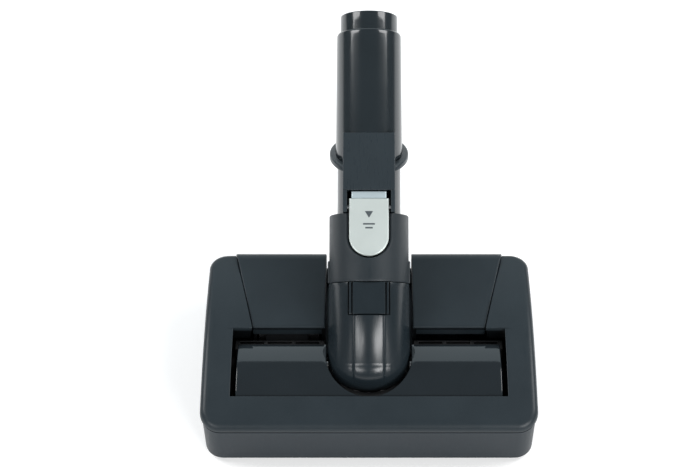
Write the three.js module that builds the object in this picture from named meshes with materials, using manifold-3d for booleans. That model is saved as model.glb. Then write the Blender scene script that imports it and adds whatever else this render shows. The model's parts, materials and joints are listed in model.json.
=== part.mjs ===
// A vacuum cleaner's turbine brush head with a tilting, swivelling neck and a lockable wand socket.
// Millimetres, +Z up. X runs across the head, Y from its front edge to its back, and the floor is Z = 0.
// The neck is built in a frame of its own: Y along the tube, Z out of its upper side, origin on the pivot.
import * as THREE from "three";
import { mergeVertices } from "three/addons/utils/BufferGeometryUtils.js";
import Module from "manifold-3d";

const wasm = await Module();
wasm.setup();

// ---------------------------------------------------------------- driving dimensions

const GAP = 0.3; // between pieces that touch or are fixed together
const RUNNING = 0.3; // radial clearance of what turns
const DEG = Math.PI / 180;

// Floor head
const HEAD_WIDTH = 260;
const HEAD_DEPTH = 164;
const FRONT_CORNER = 16; // corner radii in plan
const REAR_CORNER = 15;
const SEAM_HEIGHT = 45.5; // joint line between the upper and the lower shell
const FRONT_HEIGHT = 51; // top surface just behind the rounded front edge
const CROWN_HEIGHT = 63.8; // highest line of the wings
const CROWN_Y = 95; // where that line lies
const BACK_HEIGHT = 57.3; // top surface just before the rounded back edge
const EDGE_RADIUS = 5; // rounded edge all round the top
const COVER_WALL = 3;
const BASE_WALL = 2.8;
const LIP_INSET = 1.3; // the lower shell stands in from the upper one
const SHADOW_GAP = 1.5; // height of the dark line under the upper shell
const SHADOW_DEPTH = 1.1;
const SOLE_BOTTOM = 2; // underside above the floor
const SOLE_THICK = 2;

// Window over the brush, with the air inlet behind it
const APERTURE_FRONT = 25.5;
const APERTURE_BACK = 84;
const WING_WIDTH = 23; // solid top at each end of the window
const WINDOW_GAP = 4; // open groove at each end of the window
const WINDOW_BACK = 74.5;
const WINDOW_RISE = 5; // height of its arch
const WINDOW_BACK_RISE = 1.5; // its back edge above its front edge
const WINDOW_THICK = 2.5;
const WINDOW_DROP = 2.6; // its front edge below the cover's surface
const GRILLE_TOP = 47;
const GRILLE_THICK = 2.4;
const GRILLE_LINES = 2; // rows of slots
const GRILLE_SLOT = 1.8;

// Raised rear deck, a trapezium split by the neck's slot
const DECK_FRONT = 86.5;
const DECK_FRONT_STEP = 15; // its front corner in from the window's end
const DECK_REAR_STEP = 20.5; // its rear corner in from the head's side
const DECK_FRONT_HEIGHT = 61.5;
const DECK_REAR_HEIGHT = 62.2;
const DECK_EDGE_RADIUS = 10;
const DECK_WALL = 2.6;
const SLOT_GAP = 2.05; // beside the neck
const TROUGH_FLOOR = 23.5; // top of the floor under the neck
const TROUGH_SILL = 38; // rear wall under the neck

// Neck
const PIVOT_Y = 60;
const PIVOT_Z = 47.6;
const NECK_ANGLE = 32.5 * DEG; // neck above the floor, at rest
const NOSE_RADIUS = 22.5; // elbow about its pivot, seen from the side
const ELBOW_OVER_SLEEVE = 1; // the elbow is this much wider on each side
const ELBOW_POWER = 1.8; // superellipse power of the nose; 2 is an ellipse
const ELBOW_WALL = 3;
const TRUNNION_RADIUS = 2.8; // steel pins on which the elbow tilts
const SEAM_AT = 63.5; // swivel joint, along the neck from the pivot
const SLEEVE_RADIUS = 31.4;
const SLEEVE_WALL = 3;
const SLEEVE_LUG = 1.2; // how far its side lugs stand out
const SLEEVE_LENGTH = 53.7;
const CATCH_HALF = 12.6; // flat tongue in the elbow's upper side
const CATCH_FROM = 38;
const CATCH_SLOT = 3.6;
const TUBE_RADIUS = 25.2; // inside the sleeve
const TUBE_MIDDLE_RADIUS = 26.6; // above the collar
const TUBE_TOP_RADIUS = 25.8;
const TUBE_FROM = 68;
const COLLAR_AT = 167;
const COLLAR_RADIUS = 31.4;
const COLLAR_THICK = 4;
const COLLAR_TILT = 32.8 * DEG;
const SHOULDER_AT = 265;
const STUB_RADIUS = 23;
const STUB_END = 279;
const SOCKET_BORE = 19.15; // takes a 38 mm wand
const SOCKET_STOP_BORE = 17.5;
const SOCKET_STOP = 80;
const LATCH_HALF = 20.4; // raised panel on the tube's upper side
const LATCH_FROM = 134.8;
const LATCH_TO = 180.5;
const LATCH_TOP = 29.2; // at its lower end
const LATCH_TOP_END = 26.6; // at its upper end, where it runs into the tube
const LATCH_CHEEK = 3.4; // wall on each side of the lever

// Lock lever
const LEVER_HALF = 15.4;
const LEVER_FROM = 83.2;
const LEVER_TO = 134.2;
const LEVER_TOP = 29.6;
const LEVER_THICK = 2.6;
const LEVER_PIN_AT = 122;
const LEVER_PIN_HEIGHT = 24.2;
const LEVER_PIN_RADIUS = 1.5;
const LEVER_RECESS_GAP = 1.5; // round the lever in the sleeve
const LEVER_TRAVEL_DEPTH = 5.4; // room under the plate when it is pressed
const HOOK_AT = 131;
const HOOK_REACH = 18.4; // hook tip from the tube's axis, inside the bore

// Brush roller and its drive
const BRUSH_Y = 25.5;
const BRUSH_Z = 19.8;
const BRUSH_CORE_RADIUS = 11;
const BRUSH_TIP_RADIUS = 18.8;
const BRUSH_END_GAP = 0.4; // inside the end of the mouth
const BRISTLE_ROWS = 4;
const BRISTLE_WIDTH = 2.6;
const BRISTLE_SWEEP = 75 * DEG; // turn of a row from its end to its middle
const AXLE_RADIUS = 3;
const BRUSH_PULLEY_RADIUS = 13;
const DRIVE_PULLEY_RADIUS = 6;
const PULLEY_FLANGE = 1.8;
const PULLEY_WIDTH = 9;
const PULLEY_INSET = 20.2; // belt's middle in from the head's side
const PULLEY_CLEARANCE = 0.8; // beside the brush core
const BELT_WIDTH = 6;
const BELT_THICK = 1.4;
const MOUTH_FRONT = 9;
const MOUTH_BACK = 48;
const MOUTH_INSET = 11.2; // end of the mouth in from the head's side

// Air turbine
const TURBINE_Y = 113;
const TURBINE_CLEARANCE = 1.4; // above the lower shell's floor
const TURBINE_FROM_BELT = 21.8;
const TURBINE_FROM_SLOT = 7.75;
const TURBINE_BORE = 21;
const TURBINE_WALL = 2;
const ROTOR_TIP_GAP = 1.2;
const ROTOR_HUB = 8;
const ROTOR_BLADES = 12;
const ROTOR_BLADE_THICK = 2;

// Wheels and fasteners
const WHEEL_RADIUS = 15;
const WHEEL_WIDTH = 14;
const WHEEL_INSET = 22; // wheel's middle in from the head's side
const WHEEL_Y = 138;
const ROLLER_RADIUS = 9.5;
const ROLLER_WIDTH = 10;
const ROLLER_FROM_WHEEL = 38;
const ROLLER_Y = 69;
const WHEEL_PIN_RADIUS = 2;
const STRIP_FROM = 18; // lint strips, from the head's middle and from its sides
const stripDepth = [51, 56.5];
const REAR_SCREW_X = 52;
const REAR_SCREW_Y = 150;
const FRONT_SCREW_INSET = 32;
const FRONT_SCREW_Y = 66;
const SCREW_HEAD_RADIUS = 3.6;
const SCREW_SHANK_RADIUS = 1.6;
const SCREW_LENGTH = 22;
const BOSS_RADIUS = 5;

// ---------------------------------------------------------------- sizes that follow from these

const halfWidth = HEAD_WIDTH / 2;
const apertureHalf = halfWidth - WING_WIDTH;
const deckFrontHalf = apertureHalf - DECK_FRONT_STEP;
const deckRearHalf = halfWidth - DECK_REAR_STEP;
const slotHalf = SLEEVE_RADIUS + SLEEVE_LUG + SLOT_GAP;
const elbowHalf = SLEEVE_RADIUS + ELBOW_OVER_SLEEVE;
const sleeveBore = SLEEVE_RADIUS - SLEEVE_WALL;
const mouthHalf = halfWidth - MOUTH_INSET;
const pulleyX = PULLEY_INSET - halfWidth;
const brushLeft = pulleyX + PULLEY_WIDTH / 2 + PULLEY_CLEARANCE;
const brushRight = mouthHalf - BRUSH_END_GAP;
const soleTop = SOLE_BOTTOM + SOLE_THICK;
const floorBottom = soleTop + GAP;
const floorTop = floorBottom + BASE_WALL;
const turbineOuter = TURBINE_BORE + TURBINE_WALL;
const turbineZ = floorTop + TURBINE_CLEARANCE + turbineOuter;
const turbineLeft = pulleyX + TURBINE_FROM_BELT;
const turbineRight = -slotHalf - TURBINE_FROM_SLOT;
const rotorRadius = TURBINE_BORE - ROTOR_TIP_GAP;
const wheelX = halfWidth - WHEEL_INSET;
const rollerX = wheelX - ROLLER_FROM_WHEEL;
const frontScrewX = halfWidth - FRONT_SCREW_INSET;
const screwPlaces = [
  [-REAR_SCREW_X, REAR_SCREW_Y],
  [REAR_SCREW_X, REAR_SCREW_Y],
  [-frontScrewX, FRONT_SCREW_Y],
  [frontScrewX, FRONT_SCREW_Y],
];
const stripSpan = [STRIP_FROM, halfWidth - STRIP_FROM];
const trunnionSpan = [elbowHalf - 6.5, slotHalf + 6.75];
const pocketFloor = LEVER_TOP - LEVER_THICK - LEVER_TRAVEL_DEPTH;

// ---------------------------------------------------------------- materials

const plastic = (color, roughness) => new THREE.MeshStandardMaterial({ color, roughness, metalness: 0 });
const metal = (color, roughness) => new THREE.MeshStandardMaterial({ color, roughness, metalness: 1 });
const charcoal = () => plastic(0x3a4349, 0.42);
const darkGloss = () => plastic(0x20262b, 0.12);
const blackPlastic = () => plastic(0x17191b, 0.6);
const blackRubber = () => plastic(0x0f1011, 0.85);
const silverPaint = () => plastic(0xd2dad8, 0.3);
const redFabric = () => plastic(0x7c1518, 0.95);
const greyBristle = () => plastic(0x3c4042, 0.8);
const steel = () => metal(0xb9bcbe, 0.3);

// ---------------------------------------------------------------- solids

// A closed three.js geometry as a solid that can be joined and cut.
function solid(geometry) {
  const bare = geometry.clone();
  bare.deleteAttribute("normal");
  bare.deleteAttribute("uv");
  const merged = mergeVertices(bare, 1e-4);
  return new wasm.Manifold(
    new wasm.Mesh({
      numProp: 3,
      vertProperties: new Float32Array(merged.attributes.position.array),
      triVerts: new Uint32Array(merged.index.array),
    }),
  );
}

// The triangles of a solid as a geometry with flat faces.
function geometryOf(body) {
  const { vertProperties, triVerts, numProp } = body.getMesh();
  const place = new Float32Array((vertProperties.length / numProp) * 3);
  for (let i = 0; i * numProp < vertProperties.length; i += 1) {
    place.set(vertProperties.subarray(i * numProp, i * numProp + 3), i * 3);
  }
  const geometry = new THREE.BufferGeometry()
    .setAttribute("position", new THREE.BufferAttribute(place, 3))
    .setIndex(new THREE.BufferAttribute(new Uint32Array(triVerts), 1))
    .toNonIndexed();
  geometry.computeVertexNormals();
  return geometry;
}

const join = (first, ...others) => others.reduce((body, other) => body.add(other), first);
const cut = (body, ...tools) => tools.reduce((rest, tool) => rest.subtract(tool), body);

function box([x0, x1], [y0, y1], [z0, z1]) {
  const geometry = new THREE.BoxGeometry(x1 - x0, y1 - y0, z1 - z0);
  return solid(geometry.translate((x0 + x1) / 2, (y0 + y1) / 2, (z0 + z1) / 2));
}

// A round bar along X, about the line at y and z.
function barX(radius, [x0, x1], y, z, sides = 24) {
  const geometry = new THREE.CylinderGeometry(radius, radius, x1 - x0, sides);
  return solid(geometry.rotateZ(Math.PI / 2).translate((x0 + x1) / 2, y, z));
}

const ringX = (outer, bore, span, y, z, sides = 24) =>
  cut(barX(outer, span, y, z, sides), barX(bore, [span[0] - 1, span[1] + 1], y, z, sides));

// A round bar along Z, at x and y.
function barZ(radius, [z0, z1], x, y, sides = 16) {
  const geometry = new THREE.CylinderGeometry(radius, radius, z1 - z0, sides);
  return solid(geometry.rotateX(Math.PI / 2).translate(x, y, (z0 + z1) / 2));
}

// The outline of a shape as straight steps, without the near-double points where its curves meet.
function stepped(shape, curveSegments) {
  const points = shape.getPoints(curveSegments);
  const apart = (a, b) => a.distanceTo(b) > 0.02;
  const kept = points.filter((point, i) => i === 0 || apart(point, points[i - 1]));
  if (!apart(kept[0], kept[kept.length - 1])) kept.pop();
  return new THREE.Shape(kept);
}

// A side outline in Y and Z, drawn out along X.
function prismX(shape, [x0, x1], curveSegments = 6) {
  const flat = stepped(shape, curveSegments);
  const geometry = new THREE.ExtrudeGeometry(flat, { depth: x1 - x0, bevelEnabled: false });
  const turn = new THREE.Matrix4().makeBasis(
    new THREE.Vector3(0, 1, 0),
    new THREE.Vector3(0, 0, 1),
    new THREE.Vector3(1, 0, 0),
  );
  return solid(geometry.applyMatrix4(turn).translate(x0, 0, 0));
}

// A solid through convex side outlines: each ring is { x, points } with its [y, z] points in one order.
function loftX(rings) {
  const count = rings[0].points.length;
  const place = rings.flatMap(({ x, points }) => points.flatMap((point) => [x, point.x, point.y]));
  const faces = [];
  for (let r = 0; r + 1 < rings.length; r += 1) {
    for (let i = 0; i < count; i += 1) {
      const [a, b] = [r * count + i, r * count + ((i + 1) % count)];
      faces.push(a, a + count, b, b, a + count, b + count);
    }
  }
  const last = (rings.length - 1) * count;
  for (let i = 1; i + 1 < count; i += 1) {
    faces.push(0, i, i + 1, last, last + i + 1, last + i);
  }
  const geometry = new THREE.BufferGeometry()
    .setAttribute("position", new THREE.Float32BufferAttribute(place, 3))
    .setIndex(faces);
  return solid(geometry);
}

// A plan outline in X and Y, drawn up along Z.
function prismZ(shape, [z0, z1], curveSegments = 6) {
  const flat = stepped(shape, curveSegments);
  const geometry = new THREE.ExtrudeGeometry(flat, { depth: z1 - z0, bevelEnabled: false });
  return solid(geometry.translate(0, 0, z0));
}

// A closed profile of [radius, distance] points turned about the Y axis.
function turned(points, sides = 40) {
  const profile = points.map(([radius, along]) => new THREE.Vector2(radius, along));
  return solid(new THREE.LatheGeometry([...profile, profile[0]], sides));
}

const outline = (points) => new THREE.Shape(points.map(([u, v]) => new THREE.Vector2(u, v)));

const root = new THREE.Group();

// Hangs a solid in a group as the mesh of one named piece.
function piece(group, name, body, material) {
  const mesh = new THREE.Mesh(geometryOf(body), material);
  mesh.name = name;
  group.add(mesh);
}

// ---------------------------------------------------------------- shells of the head

// Height of the wings: two half parabolas that meet at the crown line, level there.
const wingFall = (y) =>
  y < CROWN_Y
    ? { drop: CROWN_HEIGHT - FRONT_HEIGHT, reach: CROWN_Y - EDGE_RADIUS }
    : { drop: CROWN_HEIGHT - BACK_HEIGHT, reach: HEAD_DEPTH - EDGE_RADIUS - CROWN_Y };
const topHeight = (y) => CROWN_HEIGHT - wingFall(y).drop * ((y - CROWN_Y) / wingFall(y).reach) ** 2;
const topSlope = (y) => (-2 * wingFall(y).drop * (y - CROWN_Y)) / wingFall(y).reach ** 2;

// Rounded rectangle of the head in plan, moved in by `inset`.
function headPlan(inset) {
  const half = halfWidth - inset;
  const front = inset;
  const back = HEAD_DEPTH - inset;
  const rf = FRONT_CORNER - inset;
  const rb = REAR_CORNER - inset;
  const shape = new THREE.Shape();
  shape.moveTo(-half + rf, front);
  shape.lineTo(half - rf, front);
  shape.absarc(half - rf, front + rf, rf, -Math.PI / 2, 0, false);
  shape.lineTo(half, back - rb);
  shape.absarc(half - rb, back - rb, rb, 0, Math.PI / 2, false);
  shape.lineTo(-half + rb, back);
  shape.absarc(-half + rb, back - rb, rb, Math.PI / 2, Math.PI, false);
  shape.lineTo(-half, front + rf);
  shape.absarc(-half + rf, front + rf, rf, Math.PI, Math.PI * 1.5, false);
  return shape;
}

// Side outline of the upper shell, moved in by `inset`: front edge, crown, back edge.
function coverSide(inset, low) {
  const radius = Math.max(EDGE_RADIUS - inset, 2);
  const front = inset + radius;
  const back = HEAD_DEPTH - inset - radius;
  const frontTilt = Math.atan(topSlope(front));
  const backTilt = Math.atan(topSlope(back));
  const from = front - radius * Math.sin(frontTilt);
  const to = back - radius * Math.sin(backTilt);
  const crown = CROWN_HEIGHT - inset;
  const frontCentre = topHeight(from) - inset - radius * Math.cos(frontTilt);
  const backCentre = topHeight(to) - inset - radius * Math.cos(backTilt);
  const shape = new THREE.Shape();
  shape.moveTo(inset, low);
  shape.absarc(front, frontCentre, radius, Math.PI, Math.PI / 2 + frontTilt, true);
  shape.quadraticCurveTo((from + CROWN_Y) / 2, crown, CROWN_Y, crown);
  shape.quadraticCurveTo((CROWN_Y + to) / 2, crown, to, topHeight(to) - inset);
  shape.absarc(back, backCentre, radius, Math.PI / 2 + backTilt, 0, true);
  shape.lineTo(HEAD_DEPTH - inset, low);
  return shape;
}

// The upper shell's outer form, moved in by `inset`: its side outline shrinks round the end edges.
function coverBody(inset, low) {
  const edge = Math.max(EDGE_RADIUS - inset, 2);
  const steps = 4;
  const rings = Array.from({ length: steps + 1 }, (_, i) => {
    const angle = (Math.PI / 2) * (i / steps);
    const points = stepped(coverSide(inset + edge * (1 - Math.cos(angle)), low), 5);
    return { x: halfWidth - inset - edge * (1 - Math.sin(angle)), points: points.getPoints() };
  });
  const mirrored = rings.map(({ x, points }) => ({ x: -x, points })).reverse();
  const plan = prismZ(headPlan(inset), [low, CROWN_HEIGHT + EDGE_RADIUS], 5);
  return loftX([...mirrored, ...rings]).intersect(plan);
}

// Trapezium of the rear deck in plan, grown by `grow`; its sides run out to the back.
function deckPlan(grow) {
  const back = HEAD_DEPTH + 1;
  const front = DECK_FRONT - grow;
  return outline([
    [-deckFrontHalf - grow, front],
    [deckFrontHalf + grow, front],
    [deckRearHalf + grow, back],
    [-deckRearHalf - grow, back],
  ]);
}

function topCover() {
  const low = SEAM_HEIGHT;
  const shell = cut(coverBody(0, low), coverBody(COVER_WALL, low - 5));
  const aperture = box(
    [-apertureHalf, apertureHalf],
    [APERTURE_FRONT, APERTURE_BACK],
    [low - 5, CROWN_HEIGHT + 5],
  );
  const deck = prismZ(deckPlan(GAP), [low - 5, CROWN_HEIGHT + 5]);
  const bridge = box(
    [-deckFrontHalf, deckFrontHalf],
    [APERTURE_BACK - 1, DECK_FRONT + 1],
    [low - 5, CROWN_HEIGHT + 5],
  );
  return cut(shell, aperture, deck, bridge);
}

// The deck with its side skirts, and the trough in which the neck swings.
function rearDeck() {
  const radius = DECK_EDGE_RADIUS;
  const low = SEAM_HEIGHT + GAP;
  const deckSide = (inset) => {
    const back = HEAD_DEPTH - inset;
    const edge = radius - inset;
    const shape = new THREE.Shape();
    shape.moveTo(DECK_FRONT + inset, low - (inset > 0 ? 2 : 0));
    shape.lineTo(DECK_FRONT + inset, DECK_FRONT_HEIGHT - inset);
    shape.lineTo(back - edge, DECK_REAR_HEIGHT - inset);
    shape.absarc(back - edge, DECK_REAR_HEIGHT - inset - edge, edge, Math.PI / 2, 0, true);
    shape.lineTo(back, low - (inset > 0 ? 2 : 0));
    return shape;
  };
  const span = [-HEAD_WIDTH / 2, HEAD_WIDTH / 2];
  const outer = prismX(deckSide(0), span).intersect(prismZ(deckPlan(0), [0, CROWN_HEIGHT + 9]));
  const inner = prismX(deckSide(DECK_WALL), span).intersect(
    prismZ(deckPlan(-DECK_WALL), [0, CROWN_HEIGHT + 9]),
  );
  const wallOut = slotHalf + DECK_WALL;
  const back = HEAD_DEPTH - LIP_INSET - BASE_WALL - GAP;
  const troughBlock = box([-wallOut, wallOut], [DECK_FRONT, back], [TROUGH_FLOOR - DECK_WALL, low + 8]);
  const troughRoom = box([-slotHalf, slotHalf], [DECK_FRONT - 1, back - DECK_WALL], [TROUGH_FLOOR, low + 9]);
  const overSill = box([-slotHalf, slotHalf], [back - DECK_WALL - 1, back + 1], [TROUGH_SILL, low + 9]);
  const slot = box([-slotHalf, slotHalf], [DECK_FRONT - 5, HEAD_DEPTH + 5], [TROUGH_SILL, CROWN_HEIGHT + 9]);
  const slotWalls = outer.intersect(box([-wallOut, wallOut], [0, HEAD_DEPTH], [0, CROWN_HEIGHT + 9]));
  return cut(join(cut(outer, inner), slotWalls, troughBlock), troughRoom, overSill, slot);
}

// Openings under the head: the brush mouth and a well for each wheel.
function undersideOpenings() {
  const through = [SOLE_BOTTOM - 1, floorTop + 1];
  const wells = [-1, 1].flatMap((side) =>
    [
      [wheelX, WHEEL_Y, WHEEL_RADIUS, WHEEL_WIDTH],
      [rollerX, ROLLER_Y, ROLLER_RADIUS, ROLLER_WIDTH],
    ].map(([x, y, radius, width]) =>
      box(
        [side * x - width / 2 - 1.2, side * x + width / 2 + 1.2],
        [y - radius - 1.5, y + radius + 1.5],
        through,
      ),
    ),
  );
  return [box([-mouthHalf, mouthHalf], [MOUTH_FRONT, MOUTH_BACK], through), ...wells];
}

// Two lugs beside a wheel, bored for its pin.
function wheelLugs(x, y, radius, width) {
  const pin = WHEEL_PIN_RADIUS;
  return [-1, 1].map((side) => {
    const inner = x + side * (width / 2 + 0.8);
    const span = side > 0 ? [inner, inner + 2.4] : [inner - 2.4, inner];
    const lug = box(span, [y - 2 * pin - 1.5, y + 2 * pin + 1.5], [floorBottom, radius + 2 * pin + 1]);
    return cut(lug, barX(pin + GAP, [span[0] - 1, span[1] + 1], y, radius, 12));
  });
}

function baseShell() {
  const top = SEAM_HEIGHT - GAP;
  const outer = join(
    prismZ(headPlan(LIP_INSET), [floorBottom, top - SHADOW_GAP], 5),
    prismZ(headPlan(LIP_INSET + SHADOW_DEPTH), [floorBottom, top], 5),
  );
  const inner = prismZ(headPlan(LIP_INSET + BASE_WALL), [floorTop, top + 1], 5);
  const tub = cut(outer, inner);
  const notch = box([-slotHalf, slotHalf], [HEAD_DEPTH - 12, HEAD_DEPTH], [TROUGH_SILL, top + 1]);
  const bosses = screwPlaces.map(([x, y]) => barZ(BOSS_RADIUS, [floorBottom, SEAM_HEIGHT - 4], x, y));
  const bores = screwPlaces.flatMap(([x, y]) => [
    barZ(SCREW_SHANK_RADIUS + GAP, [floorBottom - 1, SEAM_HEIGHT], x, y),
    barZ(SCREW_HEAD_RADIUS + GAP, [floorBottom - 1, floorBottom + 1.6], x, y),
  ]);
  const lugs = [-1, 1].flatMap((side) => [
    ...wheelLugs(side * wheelX, WHEEL_Y, WHEEL_RADIUS, WHEEL_WIDTH),
    ...wheelLugs(side * rollerX, ROLLER_Y, ROLLER_RADIUS, ROLLER_WIDTH),
  ]);
  return cut(join(cut(join(tub, ...bosses), notch, ...undersideOpenings()), ...lugs), ...bores);
}

function solePlate() {
  const plate = prismZ(headPlan(LIP_INSET + 2.5), [SOLE_BOTTOM, soleTop], 5);
  const grooves = [-1, 1].map((side) =>
    box(
      side > 0 ? [stripSpan[0] - GAP, stripSpan[1] + GAP] : [-stripSpan[1] - GAP, -stripSpan[0] + GAP],
      [stripDepth[0] - GAP, stripDepth[1] + GAP],
      [SOLE_BOTTOM - 1, SOLE_BOTTOM + 1.1],
    ),
  );
  const deep = [SOLE_BOTTOM - 1, soleTop + 1];
  const holes = screwPlaces.map(([x, y]) => barZ(SCREW_HEAD_RADIUS + 1, deep, x, y));
  return cut(plate, ...undersideOpenings(), ...grooves, ...holes);
}

// ---------------------------------------------------------------- window and air inlet

// Clear plan of the neck: a half round in front of the pivot, then straight to the back.
function neckPlan(half) {
  const shape = new THREE.Shape();
  shape.moveTo(-half, HEAD_DEPTH + 5);
  shape.lineTo(-half, PIVOT_Y);
  shape.absarc(0, PIVOT_Y, half, Math.PI, Math.PI * 2, false);
  shape.lineTo(half, HEAD_DEPTH + 5);
  return shape;
}

function brushWindow() {
  const front = APERTURE_FRONT + GAP;
  const frontHeight = topHeight(APERTURE_FRONT) - WINDOW_DROP;
  const backHeight = frontHeight + WINDOW_BACK_RISE;
  const middle = (front + WINDOW_BACK) / 2;
  const crest = frontHeight + 2 * WINDOW_RISE;
  const arch = (drop) => {
    const shape = new THREE.Shape();
    shape.moveTo(front, frontHeight - drop);
    shape.quadraticCurveTo(middle, crest - drop, WINDOW_BACK, backHeight - drop);
    return shape.getPoints(10).map((point) => [point.x, point.y]);
  };
  const pane = outline([...arch(WINDOW_THICK), ...arch(0).reverse()]);
  const tongueTop = topHeight(front - 8) - COVER_WALL - GAP - 0.6;
  const tongue = box(
    [-apertureHalf + WINDOW_GAP, apertureHalf - WINDOW_GAP],
    [front - 8, front + 1.2],
    [tongueTop - 1.8, tongueTop],
  );
  const heel = box(
    [-apertureHalf + WINDOW_GAP, apertureHalf - WINDOW_GAP],
    [front, front + WINDOW_THICK],
    [tongueTop - 1.8, frontHeight - 0.8],
  );
  const half = apertureHalf - WINDOW_GAP;
  const whole = join(prismX(pane, [-half, half]), tongue, heel);
  return cut(whole, prismZ(neckPlan(elbowHalf + 1), [30, 80], 10));
}

// Tray round the front of the nose: a wall down from the window's half-round edge, and a lip to the nose.
function noseShroud() {
  const half = elbowHalf + 1 - GAP;
  const rim = topHeight(APERTURE_FRONT) - WINDOW_DROP - WINDOW_THICK - GAP;
  const low = BRUSH_Z + BRUSH_TIP_RADIUS + 1.6;
  const front = box([-half - 3, half + 3], [APERTURE_FRONT, PIVOT_Y - 9], [low, PIVOT_Z + 20]);
  const tray = prismZ(neckPlan(half), [low, rim], 10);
  const room = prismZ(neckPlan(half - 1.6), [low + 2, rim + 1], 10);
  return cut(tray, room, nose(0.6).translate([0, PIVOT_Y, PIVOT_Z])).intersect(front);
}

// Strip of long louvre slots along the groove behind the window.
function airInlet() {
  const half = apertureHalf - 1;
  const [front, back] = [WINDOW_BACK + 0.6, APERTURE_BACK - GAP];
  const plate = box([-half, half], [front, back], [GRILLE_TOP - GRILLE_THICK, GRILLE_TOP]);
  const legs = [-1, 1].map((side) =>
    box(
      side > 0 ? [half - 2.4, half] : [-half, -half + 2.4],
      [front, back],
      [GRILLE_TOP - 12, GRILLE_TOP - GRILLE_THICK + 0.1],
    ),
  );
  const row = (back - front) / GRILLE_LINES;
  const lines = Array.from({ length: GRILLE_LINES }, (_, line) => line);
  const slots = lines.flatMap((line) =>
    [-1, 1].flatMap((side) =>
      [0, 1, 2].map((n) => {
        const from = slotHalf + 4.75 + n * 22;
        const middle = front + row * (line + 0.5);
        return box(
          side > 0 ? [from, from + 19] : [-from - 19, -from],
          [middle - GRILLE_SLOT / 2, middle + GRILLE_SLOT / 2],
          [GRILLE_TOP - GRILLE_THICK - 1, GRILLE_TOP + 1],
        );
      }),
    ),
  );
  // the bar that joins both halves runs low in front of the trough, under the neck
  const bridgeLow = TROUGH_FLOOR - 2.4;
  const across = elbowHalf + 3;
  const cheeks = [-1, 1].map((side) =>
    box(
      side > 0 ? [across, across + 2.4] : [-across - 2.4, -across],
      [back - 2.4, back],
      [bridgeLow, GRILLE_TOP - GRILLE_THICK + 0.1],
    ),
  );
  const bridge = box([-across - 2.4, across + 2.4], [back - 2.4, back], [bridgeLow, TROUGH_FLOOR]);
  return join(cut(plate, prismZ(neckPlan(across), [30, 80], 10), ...slots), ...legs, ...cheeks, bridge);
}

// ---------------------------------------------------------------- brush, belt and turbine

// Outline round both pulleys at `extra` outside their belt seats.
function beltLoop(extra) {
  const a = DRIVE_PULLEY_RADIUS + extra;
  const b = BRUSH_PULLEY_RADIUS + extra;
  const dy = BRUSH_Y - TURBINE_Y;
  const dz = BRUSH_Z - turbineZ;
  const heading = Math.atan2(dz, dy);
  const lean = Math.acos((a - b) / Math.hypot(dy, dz));
  const shape = new THREE.Shape();
  shape.absarc(TURBINE_Y, turbineZ, a, heading + lean, heading - lean, false);
  shape.absarc(BRUSH_Y, BRUSH_Z, b, heading - lean, heading + lean, false);
  return shape;
}

function driveBelt() {
  const span = [pulleyX - BELT_WIDTH / 2, pulleyX + BELT_WIDTH / 2];
  const wide = [span[0] - 1, span[1] + 1];
  return cut(prismX(beltLoop(GAP + BELT_THICK), span, 9), prismX(beltLoop(GAP), wide, 9));
}

function pulley(radius, y, z) {
  const [x0, x1] = [pulleyX - PULLEY_WIDTH / 2, pulleyX + PULLEY_WIDTH / 2];
  const rim = (PULLEY_WIDTH - BELT_WIDTH) / 2 - GAP;
  const body = join(
    barX(radius, [x0, x1], y, z, 28),
    barX(radius + PULLEY_FLANGE, [x0, x0 + rim], y, z, 28),
    barX(radius + PULLEY_FLANGE, [x1 - rim, x1], y, z, 28),
  );
  return cut(body, barX(AXLE_RADIUS + GAP, [x0 - 1, x1 + 1], y, z, 16));
}

// One row of bristles: a thin box swept round the core into a V.
function bristleRow(start) {
  const length = brushRight - brushLeft - 6;
  const height = BRUSH_TIP_RADIUS - BRUSH_CORE_RADIUS - GAP;
  const geometry = new THREE.BoxGeometry(length, BRISTLE_WIDTH, height, 20, 1, 1);
  geometry.translate(0, 0, BRUSH_CORE_RADIUS + GAP + height / 2);
  const place = geometry.attributes.position;
  const point = new THREE.Vector3();
  const axis = new THREE.Vector3(1, 0, 0);
  for (let i = 0; i < place.count; i += 1) {
    point.fromBufferAttribute(place, i);
    point.applyAxisAngle(axis, start + BRISTLE_SWEEP * (1 - Math.abs(point.x) / (length / 2)));
    place.setXYZ(i, point.x, point.y, point.z);
  }
  return solid(geometry.translate((brushLeft + brushRight) / 2, BRUSH_Y, BRUSH_Z));
}

function bearingBlock([x0, x1], y, z, half, radius) {
  const block = box([x0, x1], [y - half, y + half], [z - half, z + half]);
  return cut(block, barX(radius + RUNNING, [x0 - 1, x1 + 1], y, z, 24));
}

function turbineHousing() {
  const outer = turbineOuter;
  const span = [turbineLeft, turbineRight];
  const mouth = APERTURE_BACK + 1;
  const [low, high] = [turbineZ - 2, GRILLE_TOP - GRILLE_THICK - 0.4];
  const drum = join(
    barX(outer, span, TURBINE_Y, turbineZ, 32),
    box([span[0] + 6, span[1] - 6], [mouth, TURBINE_Y - 8], [low, high]),
  );
  const room = barX(TURBINE_BORE, [span[0] + TURBINE_WALL, span[1] + 1], TURBINE_Y, turbineZ, 32);
  const throat = box([span[0] + 8, span[1] - 8], [mouth - 1, TURBINE_Y - 10], [low + 2, high - 2]);
  const shaftHole = barX(AXLE_RADIUS + 1.5, [span[0] - 1, span[0] + 5], TURBINE_Y, turbineZ, 16);
  return cut(drum, room, throat, shaftHole);
}

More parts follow.
